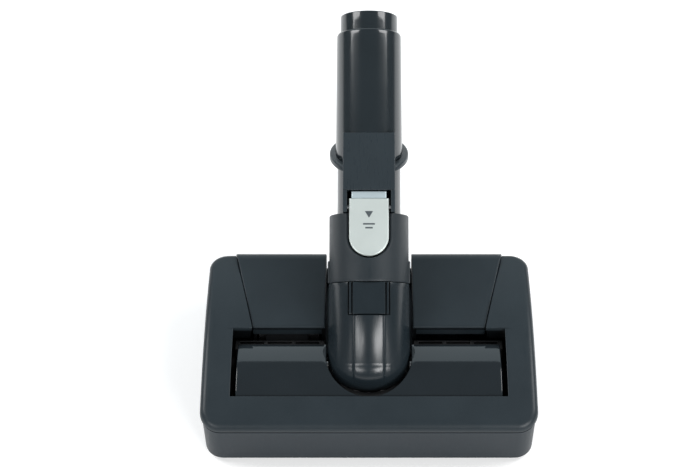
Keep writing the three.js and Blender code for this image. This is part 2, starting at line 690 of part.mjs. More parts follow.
function turbineEndPlate() {
  const span = [turbineRight + GAP, turbineRight + GAP + 2];
  const plate = barX(turbineOuter, span, TURBINE_Y, turbineZ, 32);
  const ports = [40, 140, 220, 320].map((angle) =>
    barX(
      4.6,
      [span[0] - 1, span[1] + 1],
      TURBINE_Y + 13 * Math.cos(angle * DEG),
      turbineZ + 13 * Math.sin(angle * DEG),
      12,
    ),
  );
  return cut(plate, barX(AXLE_RADIUS + 1, [span[0] - 1, span[1] + 1], TURBINE_Y, turbineZ, 16), ...ports);
}

function turbineRotor() {
  const [x0, x1] = [turbineLeft + TURBINE_WALL + 6.5, turbineRight - 3];
  const blades = Array.from({ length: ROTOR_BLADES }, (_, i) => {
    const reach = rotorRadius - ROTOR_HUB + 1;
    const geometry = new THREE.BoxGeometry(x1 - x0, ROTOR_BLADE_THICK, reach);
    geometry.translate(0, 0, ROTOR_HUB - 1 + reach / 2).rotateX((2 * Math.PI * i) / ROTOR_BLADES);
    return solid(geometry.translate((x0 + x1) / 2, TURBINE_Y, turbineZ));
  });
  const hub = barX(ROTOR_HUB, [x0, x1], TURBINE_Y, turbineZ, 24);
  return cut(join(hub, ...blades), barX(AXLE_RADIUS + GAP, [x0 - 1, x1 + 1], TURBINE_Y, turbineZ, 16));
}

// ---------------------------------------------------------------- suction duct under the elbow

// Half height and power of the elbow's section at `s` along the neck; its half width stays the same.
const elbowRise = (s) => {
  const t = THREE.MathUtils.clamp(s / (SEAM_AT * 0.8), 0, 1);
  return NOSE_RADIUS + (SLEEVE_RADIUS - NOSE_RADIUS) * t * (2 - t);
};
const noseRadius = (x, grow) => {
  const share = Math.min(Math.abs(x) / (elbowHalf + grow), 1);
  return (NOSE_RADIUS + grow) * (1 - share ** ELBOW_POWER) ** (1 / ELBOW_POWER);
};

// The elbow's nose, a body turned about the pivot line, grown by `grow`.
function nose(grow, half = elbowHalf + grow, sides = 28) {
  const steps = 10;
  const profile = Array.from({ length: steps + 1 }, (_, i) => {
    const x = -half * Math.cos((Math.PI * i) / steps);
    return new THREE.Vector2(noseRadius(x, grow), x);
  });
  const ends = [new THREE.Vector2(0, -half), new THREE.Vector2(0, half)];
  const points = half < elbowHalf + grow ? [ends[0], ...profile, ends[1]] : profile;
  points[0].x = 0;
  points[points.length - 1].x = 0;
  return solid(new THREE.LatheGeometry(points, sides).rotateZ(-Math.PI / 2));
}

const ductHalf = 25;
const ductBack = 81;

function suctionDuct() {
  const block = box([-ductHalf, ductHalf], [MOUTH_BACK + 1.5, ductBack], [floorTop + GAP, PIVOT_Z - 14]);
  const room = box(
    [-ductHalf + 2.4, ductHalf - 2.4],
    [MOUTH_BACK, ductBack - 2.4],
    [floorTop + GAP + 2.4, TROUGH_FLOOR - 2.4],
  );
  const socket = nose(1.9, 29).translate([0, PIVOT_Y, PIVOT_Z]);
  const swing = box([-ductHalf - 1, ductHalf + 1], [PIVOT_Y + 4, ductBack + 1], [TROUGH_FLOOR, PIVOT_Z]);
  const brushRoom = barX(BRUSH_TIP_RADIUS + 1, [-ductHalf - 1, ductHalf + 1], BRUSH_Y, BRUSH_Z, 32);
  return cut(block, room, socket, swing, brushRoom);
}

// Thin lip that rubs on the underside of the nose, with the air hole through it.
function elbowSeal() {
  const shell = cut(nose(1.5, 22), nose(GAP, 22.5));
  const under = box([-21, 21], [-17, 4.5], [-40, -NOSE_RADIUS * 0.62]);
  const hole = box([-16, 16], [-12, 2], [-40, 0]);
  return cut(shell.intersect(under), hole).translate([0, PIVOT_Y, PIVOT_Z]);
}

// ---------------------------------------------------------------- neck

// The elbow's barrel from the pivot to the swivel joint, moved in by `inset`.
function barrel(inset, [s0, s1]) {
  const geometry = new THREE.CylinderGeometry(1, 1, s1 - s0, 32, 6).translate(0, (s0 + s1) / 2, 0);
  const place = geometry.attributes.position;
  for (let i = 0; i < place.count; i += 1) {
    const s = place.getY(i);
    const [a, b] = [place.getX(i), place.getZ(i)];
    const away = Math.hypot(a, b);
    if (away > 0.5) {
      const t = THREE.MathUtils.clamp(s / SEAM_AT, 0, 1);
      const power = ELBOW_POWER + (2 - ELBOW_POWER) * t;
      const scale = (Math.abs(a) ** power + Math.abs(b) ** power) ** (-1 / power);
      const half = elbowHalf + (SLEEVE_RADIUS + 0.3 - elbowHalf) * t - inset;
      place.setXYZ(i, a * scale * half, s, b * scale * (elbowRise(s) - inset));
    }
  }
  return solid(geometry);
}

function elbowShell() {
  const end = SEAM_AT - GAP / 2;
  const outer = join(nose(0), barrel(0, [-1, end]));
  const ridgeSide = [
    [-8, 0],
    [-8, NOSE_RADIUS - 1.1],
    ...[0, 10, 20, 30, CATCH_FROM - GAP].map((s) => [s, elbowRise(s) + 1.3]),
    [CATCH_FROM - GAP, 0],
  ];
  const ridge = prismX(outline(ridgeSide), [-CATCH_HALF + 0.6, CATCH_HALF - 0.6]);
  const inner = join(nose(-ELBOW_WALL), barrel(ELBOW_WALL, [-1, end + 1]));
  const half = CATCH_HALF + CATCH_SLOT;
  const catchWindow = box([-half, half], [CATCH_FROM, end + 1], [sleeveBore - 10, SLEEVE_RADIUS + 5]);
  const airHole = box([-15, 15], [-11, 6], [-NOSE_RADIUS - 5, -10]).rotate([-NECK_ANGLE / DEG, 0, 0]);
  const pins = [-1, 1].map((side) =>
    barX(TRUNNION_RADIUS + GAP, side > 0 ? [20, 40] : [-40, -20], 0, 0, 20),
  );
  const body = cut(join(outer, ridge), inner, catchWindow, airHole);
  return cut(join(body, ...trunnionBosses()), ...pins);
}

// Bosses inside the cheeks of the nose that carry the trunnion pins.
function trunnionBosses() {
  const [from, to] = [elbowHalf - 7, elbowHalf - 1];
  return [-1, 1].map((side) => barX(6.5, side > 0 ? [from, to] : [-to, -from], 0, 0, 20));
}

function swivelCatch() {
  const top = SLEEVE_RADIUS - 1.4;
  const side = outline([
    [CATCH_FROM + GAP, top - 2.5],
    [SEAM_AT - GAP, top - 2.5],
    [SEAM_AT - GAP, top],
    [CATCH_FROM + GAP, elbowRise(CATCH_FROM) - 0.6],
  ]);
  return prismX(side, [-CATCH_HALF, CATCH_HALF]);
}

// Ring that keeps the sleeve on the elbow and lets it turn.
const bushOuter = sleeveBore - RUNNING;
const bushInner = TUBE_RADIUS + RUNNING;

function swivelBush() {
  const seat = SLEEVE_RADIUS - ELBOW_WALL - 0.9 - GAP;
  return turned([
    [bushInner, SEAM_AT - 9],
    [seat, SEAM_AT - 9],
    [seat, SEAM_AT],
    [bushOuter, SEAM_AT],
    [bushOuter, SEAM_AT + 12],
    [bushInner, SEAM_AT + 12],
  ]);
}

const sleeveFrom = SEAM_AT + GAP / 2;
const sleeveTo = sleeveFrom + SLEEVE_LENGTH;

// Plan of the recess round the lever: a half round at the lower end, open at the top.
function leverPlan(grow, to) {
  const half = LEVER_HALF + grow;
  const shape = new THREE.Shape();
  shape.moveTo(half, to);
  shape.lineTo(-half, to);
  shape.absarc(0, LEVER_FROM + LEVER_HALF, half, Math.PI, Math.PI * 2, false);
  return shape;
}

function swivelSleeve() {
  const wall = turned([
    [sleeveBore, sleeveFrom],
    [SLEEVE_RADIUS + 0.3, sleeveFrom],
    [SLEEVE_RADIUS, sleeveFrom + 12],
    [SLEEVE_RADIUS, sleeveTo - 0.8],
    [SLEEVE_RADIUS - 0.7, sleeveTo],
    [TUBE_RADIUS + GAP, sleeveTo],
    [TUBE_RADIUS + GAP, sleeveTo - 3],
    [sleeveBore, sleeveTo - 6],
  ]);
  const lugSpan = [SLEEVE_RADIUS - 1.5, SLEEVE_RADIUS + SLEEVE_LUG];
  const lugs = [-1, 1].map((side) =>
    box(
      side > 0 ? lugSpan : [-lugSpan[1], -lugSpan[0]],
      [sleeveFrom, sleeveFrom + 18],
      [-4, 4],
    ),
  );
  const recess = prismZ(leverPlan(LEVER_RECESS_GAP, sleeveTo + 1), [pocketFloor - 0.6, SLEEVE_RADIUS + 2], 8);
  return cut(join(wall, ...lugs), recess);
}

function wandTube() {
  const round = 1;
  const body = turned(
    [
      [SOCKET_STOP_BORE, TUBE_FROM],
      [TUBE_RADIUS, TUBE_FROM],
      [TUBE_RADIUS, COLLAR_AT - 6],
      [TUBE_MIDDLE_RADIUS, COLLAR_AT - 2],
      [TUBE_TOP_RADIUS, SHOULDER_AT - 3],
      [TUBE_TOP_RADIUS - 0.9, SHOULDER_AT - 0.8],
      [STUB_RADIUS, SHOULDER_AT],
      [STUB_RADIUS, STUB_END - round],
      [STUB_RADIUS - round, STUB_END],
      [SOCKET_BORE, STUB_END],
      [SOCKET_BORE, SOCKET_STOP],
      [SOCKET_STOP_BORE, SOCKET_STOP - 1],
    ],
    44,
  );
  const pocket = prismZ(leverPlan(0.7, LATCH_FROM), [pocketFloor, TUBE_RADIUS + 5], 8);
  const hookHole = box([-5, 5], [HOOK_AT - 3.2, HOOK_AT + 3.4], [10, TUBE_RADIUS + 5]);
  return cut(body, pocket, hookHole);
}

// A round bar along the neck.
const tubeAlong = (radius, [s0, s1], sides = 44) => {
  const geometry = new THREE.CylinderGeometry(radius, radius, s1 - s0, sides);
  return solid(geometry.translate(0, (s0 + s1) / 2, 0));
};

// The lever's housing: a wedge on the tube that runs into it at its upper end.
function latchPanel() {
  const from = LEVER_PIN_AT - 4.2;
  const side = outline([
    [from, 14],
    [LATCH_TO, 14],
    [LATCH_TO, LATCH_TOP_END],
    [LATCH_FROM, LATCH_TOP],
    [from, LATCH_TOP],
  ]);
  const block = prismX(side, [-LATCH_HALF, LATCH_HALF]);
  const tube = tubeAlong(TUBE_MIDDLE_RADIUS + GAP, [from - 1, LATCH_TO + 1]);
  const inside = [-LATCH_HALF + LATCH_CHEEK, LATCH_HALF - LATCH_CHEEK];
  const leverRoom = box(inside, [from - 1, LATCH_FROM], [0, LATCH_TOP + 5]);
  const pinHole = barX(LEVER_PIN_RADIUS + GAP, [-30, 30], LEVER_PIN_AT, LEVER_PIN_HEIGHT, 12);
  return cut(block, tube, leverRoom, pinHole);
}

// A disc cut across the tube at a slant, so that it shows as an ear on each side.
function tubeCollar() {
  const slab = new THREE.BoxGeometry(90, COLLAR_THICK, 110).rotateX(COLLAR_TILT);
  const disc = tubeAlong(COLLAR_RADIUS, [COLLAR_AT - 50, COLLAR_AT + 50]).intersect(
    solid(slab.translate(0, COLLAR_AT, 0)),
  );
  const bore = tubeAlong(TUBE_MIDDLE_RADIUS + GAP, [COLLAR_AT - 60, COLLAR_AT + 60]);
  const latch = box([-LATCH_HALF - GAP, LATCH_HALF + GAP], [LATCH_FROM - 20, LATCH_TO + 20], [10, 40]);
  return cut(disc, bore, latch);
}

function lockLever() {
  const low = LEVER_TOP - LEVER_THICK;
  const plate = prismZ(leverPlan(0, LEVER_TO - 5.6), [low, LEVER_TOP], 8);
  const thumb = outline([
    [LEVER_TO - 6, low],
    [LEVER_TO, low - 0.6],
    [LEVER_TO, LEVER_TOP - 2.2],
    [LEVER_TO - 5.2, LEVER_TOP - 0.9],
    [LEVER_TO - 6, LEVER_TOP - 0.9],
  ]);
  const strip = prismX(thumb, [-LEVER_HALF + 1.8, LEVER_HALF - 1.8]);
  const eyes = [-1, 1].map((side) => {
    const span = side > 0 ? [9, LEVER_HALF - 1.5] : [-LEVER_HALF + 1.5, -9];
    return join(
      barX(2.4, span, LEVER_PIN_AT, LEVER_PIN_HEIGHT, 16),
      box(span, [LEVER_PIN_AT - 2.4, LEVER_PIN_AT + 2.4], [LEVER_PIN_HEIGHT, low + 0.5]),
    );
  });
  const hook = outline([
    [HOOK_AT - 1.6, low + 0.5],
    [HOOK_AT - 1.6, HOOK_REACH + 1],
    [HOOK_AT - 0.6, HOOK_REACH],
    [HOOK_AT + 1.6, HOOK_REACH + 1.6],
    [HOOK_AT + 1.6, low + 0.5],
  ]);
  const body = join(plate, strip, ...eyes, prismX(hook, [-4, 4]));
  return cut(body, barX(LEVER_PIN_RADIUS + RUNNING, [-30, 30], LEVER_PIN_AT, LEVER_PIN_HEIGHT, 16));
}

// Torsion spring round the lever's pin.
function leverSpring() {
  const [wire, radius, half, turns] = [0.35, 2.1, 6.5, 5];
  class Helix extends THREE.Curve {
    getPoint(t, target = new THREE.Vector3()) {
      const angle = 2 * Math.PI * turns * t;
      return target.set(half * (2 * t - 1), radius * Math.cos(angle), radius * Math.sin(angle));
    }
  }
  const section = new THREE.Shape();
  section.absarc(0, 0, wire, 0, 2 * Math.PI, false);
  const geometry = new THREE.ExtrudeGeometry(section, {
    steps: turns * 10,
    curveSegments: 3,
    extrudePath: new Helix(),
  });
  return solid(geometry.translate(0, LEVER_PIN_AT, LEVER_PIN_HEIGHT));
}

// ---------------------------------------------------------------- assembly

const head = new THREE.Group();
const neck = new THREE.Group();
head.add(neck);
root.add(head);

piece(head, "base_shell", baseShell(), charcoal());
piece(head, "sole_plate", solePlate(), blackPlastic());
piece(head, "top_cover", topCover(), charcoal());
piece(head, "rear_deck", rearDeck(), charcoal());
piece(head, "brush_window", brushWindow(), darkGloss());
piece(head, "nose_shroud", noseShroud(), blackPlastic());
piece(head, "air_inlet_grille", airInlet(), blackPlastic());
piece(head, "turbine_housing", turbineHousing(), blackPlastic());
piece(head, "turbine_end_plate", turbineEndPlate(), blackPlastic());
piece(head, "suction_duct", suctionDuct(), blackPlastic());
piece(head, "elbow_seal", elbowSeal(), blackRubber());

const guardX = [turbineLeft - 4, turbineLeft - 2];
const guard = cut(
  box(guardX, [MOUTH_BACK + 2, TURBINE_Y + 14], [floorTop + GAP, SEAM_HEIGHT - 4]),
  barX(AXLE_RADIUS + 1.5, [guardX[0] - 1, guardX[1] + 1], TURBINE_Y, turbineZ, 16),
);
piece(head, "belt_guard", guard, blackPlastic());
piece(head, "drive_belt", driveBelt(), blackRubber());

const bearingInner = brushRight + 0.8;
const bearingOuter = halfWidth - LIP_INSET - BASE_WALL - GAP;
for (const [side, name] of [
  [-1, "left"],
  [1, "right"],
]) {
  const span = side > 0 ? [bearingInner, bearingOuter] : [-bearingOuter, -bearingInner];
  piece(head, `brush_bearing_${name}`, bearingBlock(span, BRUSH_Y, BRUSH_Z, 7, AXLE_RADIUS), blackPlastic());
  const capSpan = side > 0 ? [slotHalf + 0.6, slotHalf + 8] : [-slotHalf - 8, -slotHalf - 0.6];
  const capLow = floorTop + GAP;
  const cap = cut(
    box(capSpan, [PIVOT_Y - 7, PIVOT_Y + 4.2], [capLow, PIVOT_Z + TRUNNION_RADIUS + 1.6]),
    barX(TRUNNION_RADIUS + RUNNING, [capSpan[0] - 1, capSpan[1] + 1], PIVOT_Y, PIVOT_Z, 20),
  );
  piece(head, `pivot_block_${name}`, cap, blackPlastic());
  const strip = box(
    side > 0 ? stripSpan : [-stripSpan[1], -stripSpan[0]],
    stripDepth,
    [SOLE_BOTTOM - 0.7, SOLE_BOTTOM + 0.8],
  );
  piece(head, `lint_strip_${name}`, strip, redFabric());
  const rolling = [
    ["wheel", side * wheelX, WHEEL_Y, WHEEL_RADIUS, WHEEL_WIDTH],
    ["roller", side * rollerX, ROLLER_Y, ROLLER_RADIUS, ROLLER_WIDTH],
  ];
  for (const [kind, x, y, radius, width] of rolling) {
    const reach = width / 2 + 3;
    const tread = [x - width / 2, x + width / 2];
    const tyre = ringX(radius, WHEEL_PIN_RADIUS + RUNNING, tread, y, radius, kind === "wheel" ? 36 : 24);
    piece(head, `${kind}_${name}`, tyre, blackRubber());
    const pin = barX(WHEEL_PIN_RADIUS, [x - reach, x + reach], y, radius, 16);
    piece(head, `${kind}_pin_${name}`, pin, steel());
  }
}

const ballLeft = [turbineLeft + TURBINE_WALL + GAP, turbineLeft + TURBINE_WALL + 5];
const ballRight = [turbineRight + 2 + 2 * GAP, slotHalf * -1 - DECK_WALL - GAP];
const rotorBearing = (span) => ringX(7.6, AXLE_RADIUS + RUNNING, span, TURBINE_Y, turbineZ);
piece(head, "rotor_bearing_left", rotorBearing(ballLeft), steel());
piece(head, "rotor_bearing_right", rotorBearing(ballRight), steel());

screwPlaces.forEach(([x, y], i) => {
  const headLow = floorBottom - 0.6;
  const screw = join(
    barZ(SCREW_HEAD_RADIUS, [headLow, headLow + 2], x, y),
    barZ(SCREW_SHANK_RADIUS, [headLow + 1, headLow + SCREW_LENGTH], x, y, 12),
  );
  piece(head, `cover_screw_${i + 1}`, screw, steel());
});

const core = ringX(BRUSH_CORE_RADIUS, AXLE_RADIUS + GAP, [brushLeft, brushRight], BRUSH_Y, BRUSH_Z, 28);
piece(head, "brush_core", core, charcoal());
const axleEnd = bearingOuter - 1;
piece(head, "brush_axle", barX(AXLE_RADIUS, [-axleEnd, axleEnd], BRUSH_Y, BRUSH_Z), steel());
piece(head, "brush_pulley", pulley(BRUSH_PULLEY_RADIUS, BRUSH_Y, BRUSH_Z), blackPlastic());
for (let row = 0; row < BRISTLE_ROWS; row += 1) {
  piece(head, `bristle_row_${row + 1}`, bristleRow((2 * Math.PI * row) / BRISTLE_ROWS), greyBristle());
}

piece(head, "turbine_rotor", turbineRotor(), blackPlastic());
const shaftSpan = [pulleyX - PULLEY_WIDTH / 2 - 1, ballRight[1] - 0.5];
piece(head, "turbine_shaft", barX(AXLE_RADIUS, shaftSpan, TURBINE_Y, turbineZ), steel());
piece(head, "drive_pulley", pulley(DRIVE_PULLEY_RADIUS, TURBINE_Y, turbineZ), steel());

neck.position.set(0, PIVOT_Y, PIVOT_Z);
neck.rotation.x = NECK_ANGLE;
piece(neck, "elbow_shell", elbowShell(), charcoal());
piece(neck, "swivel_catch", swivelCatch(), charcoal());
piece(neck, "swivel_bush", swivelBush(), blackPlastic());
const rightTrunnion = barX(TRUNNION_RADIUS, trunnionSpan, 0, 0, 20);
piece(neck, "trunnion_pin_left", rightTrunnion.mirror([1, 0, 0]), steel());
piece(neck, "trunnion_pin_right", rightTrunnion, steel());
piece(neck, "swivel_sleeve", swivelSleeve(), charcoal());
piece(neck, "wand_tube", wandTube(), darkGloss());
piece(neck, "tube_collar", tubeCollar(), charcoal());
piece(neck, "latch_housing", latchPanel(), charcoal());
const pinReach = LATCH_HALF - 0.4;
piece(
  neck,
  "lever_pin",
  barX(LEVER_PIN_RADIUS, [-pinReach, pinReach], LEVER_PIN_AT, LEVER_PIN_HEIGHT, 16),
  steel(),
);
piece(neck, "lever_spring", leverSpring(), steel());
piece(neck, "lock_lever", lockLever(), silverPaint());

// The origin is on the floor, under the middle of the whole part.
const tubeBack = PIVOT_Y + STUB_END * Math.cos(NECK_ANGLE) + (STUB_RADIUS - 1) * Math.sin(NECK_ANGLE);
head.position.y = -tubeBack / 2;

export default root;
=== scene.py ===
# %% [markdown]
# A turbine brush head for a vacuum cleaner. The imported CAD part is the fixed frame: it gives every
# place, every moving body and the outside measures. This file gives the frame its looks. Each visible
# piece is a surface worked out with numpy from the part's own measures, and each finish is a node
# material. All lengths below are millimetres until `place` turns them into metres.

# %% Load the frame
import json
import math

import bmesh
import bpy
import numpy as np
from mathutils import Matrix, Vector

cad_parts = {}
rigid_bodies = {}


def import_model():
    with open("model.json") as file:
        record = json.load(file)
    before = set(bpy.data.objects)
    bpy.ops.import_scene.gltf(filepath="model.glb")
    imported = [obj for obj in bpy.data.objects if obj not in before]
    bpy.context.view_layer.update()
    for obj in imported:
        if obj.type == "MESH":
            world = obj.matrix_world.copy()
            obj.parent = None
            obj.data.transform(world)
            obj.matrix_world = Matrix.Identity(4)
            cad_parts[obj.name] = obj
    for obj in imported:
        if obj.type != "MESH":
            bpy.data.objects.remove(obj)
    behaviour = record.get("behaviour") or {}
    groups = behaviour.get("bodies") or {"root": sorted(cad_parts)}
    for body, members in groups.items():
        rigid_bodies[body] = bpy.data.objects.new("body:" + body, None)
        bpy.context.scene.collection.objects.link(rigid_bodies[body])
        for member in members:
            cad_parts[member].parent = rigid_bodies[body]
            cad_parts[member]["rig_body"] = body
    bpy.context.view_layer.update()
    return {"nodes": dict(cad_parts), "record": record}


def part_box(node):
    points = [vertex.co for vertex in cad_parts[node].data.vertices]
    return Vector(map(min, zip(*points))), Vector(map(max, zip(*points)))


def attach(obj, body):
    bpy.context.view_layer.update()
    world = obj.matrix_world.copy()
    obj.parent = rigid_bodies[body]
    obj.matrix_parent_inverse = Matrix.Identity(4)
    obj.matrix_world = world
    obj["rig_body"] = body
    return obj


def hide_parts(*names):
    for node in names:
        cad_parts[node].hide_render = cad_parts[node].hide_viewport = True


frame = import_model()
MM = 0.001

# %% [markdown]
# Two frames are handy. The head's frame has its front edge at Y = 0, and the floor at Z = 0. The neck's
# frame lies on the tilting axle: its second number runs along the tube, its third out of the upper side.
# Both are turned into the row's frame by one function each, so each surface is written where it is simple.

# %% Frames of the head and of the neck
FRONT_Y = -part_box("top_cover")[0].y / MM  # the row's origin, seen from the head's front edge
PIVOT = np.array([0.0, 60.0, 47.6])
NECK_TILT = math.radians(32.5)


def place(points):
    """Head frame in millimetres to row frame in metres: shift along Y, then scale."""
    return (np.asarray(points, float) - [0, FRONT_Y, 0]) * MM


def place_neck(points):
    """Neck frame to row frame: turn by the neck's tilt about X, move to the pivot, then `place`."""
    x, s, v = np.moveaxis(np.asarray(points, float), -1, 0)
    cos, sin = math.cos(NECK_TILT), math.sin(NECK_TILT)
    return place(np.stack([x, PIVOT[1] + s * cos - v * sin, PIVOT[2] + s * sin + v * cos], -1))


print("front edge to origin", round(FRONT_Y, 2))

# %% [markdown]
# The camera stands high in front of the head and looks down at about 51 degrees with a portrait lens,
# which keeps the upright lines nearly parallel. It is placed from the head's frame, so it follows the part.

# %% Camera
CAMERA_AT = (0, -642.7, 1095.8)
CAMERA_DOWN = 51.47
camera = bpy.data.objects.new("camera", bpy.data.cameras.new("camera"))
bpy.context.scene.collection.objects.link(camera)
camera.location = place(CAMERA_AT)
camera.rotation_euler = (math.radians(90 - CAMERA_DOWN), 0, 0)
camera.data.lens = 82.29
camera.data.sensor_width = 36
camera.data.shift_x = -0.0271
camera.data.clip_start, camera.data.clip_end = 0.05, 50
bpy.context.scene.camera = camera
print("camera", [round(n, 3) for n in camera.location])

# %% [markdown]
# Shader maths reads best as plain expressions. `Value` wraps a socket of a node tree, and each operator
# adds one Math node. `Finish` is a material with one method for every other kind of node.

# %% Shader expressions


class Value:
    """A number socket: +, -, *, / and ** add Math nodes, on either side of a plain number."""

    def __init__(self, finish, socket):
        self.finish, self.socket = finish, socket

    def math(self, operation, *others, clamp=False):
        settings = {"operation": operation, "use_clamp": clamp}
        return self.finish.node("Math", settings, dict(enumerate(others))).value()

    def __add__(self, other):
        return self.math("ADD", self, other)

    def __sub__(self, other):
        return self.math("SUBTRACT", self, other)

    def __rsub__(self, other):
        return self.math("SUBTRACT", other, self)

    def __mul__(self, other):
        return self.math("MULTIPLY", self, other)

    def __truediv__(self, other):
        return self.math("DIVIDE", self, other)

    def __pow__(self, other):
        return self.math("POWER", self, other)

    __radd__, __rmul__ = __add__, __mul__

    def above(self, level, soft):
        """0 below `level`, 1 above it, with a ramp `soft` wide."""
        return self.math("DIVIDE", self - level, soft, clamp=True)


class Made:
    """A node that was just made, with its outputs by name."""

    def __init__(self, finish, node):
        self.finish, self.node = finish, node

    def __getitem__(self, name):
        return self.node.outputs[name]

    def value(self, name=0):
        return Value(self.finish, self.node.outputs[name])


class Finish:
    """A material on the principled shader, whose plain numbers are set on the shader's own sockets."""

    def __init__(self, name, **plain):
        self.material = bpy.data.materials.new(name)
        self.material.use_nodes = True
        self.tree = self.material.node_tree
        self.shader = self.tree.nodes["Principled BSDF"]
        for socket, number in plain.items():
            self.shader.inputs[socket.replace("_", " ")].default_value = number

    def node(self, kind, settings=None, sockets=None):
        """Adds a node of a kind, sets it up, then fills its sockets with values or links."""
        node = self.tree.nodes.new("ShaderNode" + kind)
        for key, value in (settings or {}).items():
            if key == "stops":
                ramp = node.color_ramp.elements
                while len(ramp) < len(value):
                    ramp.new(0.5)
                for element, (at, colour) in zip(ramp, value):
                    element.position, element.color = at, colour
            else:
                setattr(node, key, value)
        for key, value in (sockets or {}).items():
            self.fill(node.inputs[key], value)
        return Made(self, node)

    def fill(self, socket, value):
        if isinstance(value, Value):
            value = value.socket
        if isinstance(value, Made):
            value = value.node.outputs[0]
        if isinstance(value, bpy.types.NodeSocket):
            self.tree.links.new(value, socket)
        else:
            socket.default_value = value

    def feed(self, **links):
        for name, value in links.items():
            self.fill(self.shader.inputs[name.replace("_", " ")], value)

    def where(self, name="Object"):
        return self.node("TexCoord")[name]

    def noise(self, size, detail=2.0, stretch=None, rough=0.5):
        """Noise whose blotches are about `size` millimetres across, stretched along each axis if asked."""
        at = self.where()
        if stretch is not None:
            at = self.node("Mapping", {}, {"Vector": at, "Scale": stretch})[0]
        sockets = {"Vector": at, "Scale": 1 / (size * MM), "Detail": detail, "Roughness": rough}
        return self.node("TexNoise", {}, sockets).value("Fac")

    def mix(self, factor, first, second):
        settings = {"data_type": "RGBA"}
        made = self.node("Mix", settings, {0: factor, 6: first, 7: second})
        return made.node.outputs[2]

    def bump(self, height, depth, under=None):
        """A Bump node for a height from 0 to 1 that stands for `depth` millimetres."""
        sockets = {"Height": height, "Distance": depth * MM, "Strength": 1.0}
        if under is not None:
            sockets["Normal"] = under
        return self.node("Bump", {}, sockets)[0]


def linear(red, green, blue):
    """A display colour from 0 to 255 as linear light: the power 2.4 of its share, offset at the dark end."""
    share = np.array([red, green, blue]) / 255
    light = np.where(share <= 0.04045, share / 12.92, ((share + 0.055) / 1.055) ** 2.4)
    return (*light.tolist(), 1.0)


print("a mid grey is", [round(n, 3) for n in linear(128, 128, 128)])

# %% [markdown]
# The shells are moulded in charcoal plastic with a fine spark-eroded grain: satin, slightly blue, and
# never quite even. Three noises do it: a grain of a third of a millimetre in the bump, a slow mottling of
# colour, and rubbing marks that are a little shinier, stretched along the way the head is pushed. Painted
# shade darkens the groove behind the window and the gap under the seam, and a painted highlight
# brightens the edge below the gap.

# %% Moulded plastics


def moulded(name, colour, roughness, grain=0.012, specular=0.5, scuffs=0.06, painted_shade=None, painted_highlight=None):
    """Plastic of a colour. Two optional masks of X, Y and Z paint shade into it and a highlight onto it."""
    finish = Finish(name, IOR=1.5, Specular_IOR_Level=specular)
    slow = finish.noise(34, 3)
    fine = finish.noise(0.38, 2)
    streaks = finish.noise(5, 4, stretch=(3.0, 0.35, 0.6)).above(0.56, 0.12)
    dark = tuple(0.86 * c for c in colour[:3]) + (1,)
    light = tuple(1.15 * c for c in colour[:3]) + (1,)
    tone = finish.mix(slow, dark, light)
    speck = finish.noise(0.9, 1).above(0.63, 0.1) * 0.35
    tone = finish.mix(speck, tone, tuple(1.5 * c for c in colour[:3]) + (1,))
    at = finish.node("SeparateXYZ", {}, {0: finish.where()})
    # painted highlight: where this mask is 1 the colour is brightened 2.2 times
    if painted_highlight:
        tone = finish.mix(painted_highlight(*map(at.value, "XYZ")), tone, tuple(2.2 * c for c in colour[:3]) + (1,))
    # painted shade: where this mask is 1 the colour is darkened to 0.12 of itself
    if painted_shade:
        tone = finish.mix(painted_shade(*map(at.value, "XYZ")), tone, tuple(0.12 * c for c in colour[:3]) + (1,))
    finish.feed(
        Base_Color=tone,
        Roughness=fine * 0.08 + slow * 0.06 + (roughness - 0.07) - streaks * scuffs,
        Normal=finish.bump(fine, grain),
    )
    return finish.material


def groove_painted_shade(x, y, z):
    """Painted shade: 1 on the walls behind the window, 83.5 to 87.2 from the front, inside 109, and lower
    than 59.9.
    """
    front = (y + (FRONT_Y - 83.5) * MM).above(0, 0.1 * MM)
    behind = (y + (FRONT_Y - 87.2) * MM).above(0, 0.3 * MM)
    beside = x.math("ABSOLUTE", x).above(109 * MM, MM)
    lip = z.above(59.5 * MM, 0.5 * MM)
    return front * (1 - behind) * (1 - lip) * (1 - beside)


def seam_painted_shadow(x, y, z):
    """Painted shadow: nearly 1 in the shadow gap right under the seam of the two shells."""
    return z.above(41.15 * MM, 0.2 * MM) * 0.9


def seam_edge_painted_highlight(x, y, z):
    """Painted highlight: part of the way to bright on the edge below that gap."""
    return z.above(39.8 * MM, 0.8 * MM) * 0.4


# charcoal gets painted shade on the groove walls; charcoal_shell gets a painted shadow in the seam gap and a
# painted highlight on the edge below it
charcoal = moulded("charcoal_satin", linear(37, 45, 50), 0.38, specular=0.3, painted_shade=groove_painted_shade)
charcoal_shell = moulded(
    "charcoal_shell", linear(32, 40, 46), 0.4, specular=0.2, painted_shade=seam_painted_shadow, painted_highlight=seam_edge_painted_highlight
)
charcoal_latch = moulded("charcoal_latch", linear(42, 50, 55), 0.3, grain=0.006, specular=0.5)
charcoal_neck = moulded("charcoal_neck", linear(30, 38, 43), 0.25, grain=0.006, specular=0.5)
charcoal_sleeve = moulded("charcoal_sleeve", linear(31, 39, 44), 0.44, specular=0.45)
black_plastic = moulded("black_plastic", linear(26, 28, 30), 0.55, grain=0.02)
tyre_rubber = moulded("black_rubber", linear(22, 22, 23), 0.8, grain=0.03, specular=0.3, scuffs=0.15)
core_plastic = moulded("brush_core_plastic", linear(50, 54, 58), 0.45)
print("moulded finishes ready")

# %% [markdown]
# The wand socket and the window are polished dark plastic, as a smoked acrylic. What shows on such a
# surface is its reflection, so the base is almost black, the gloss is high, and only hairline scratches
# and a faint haze break it.

# %% Polished plastics


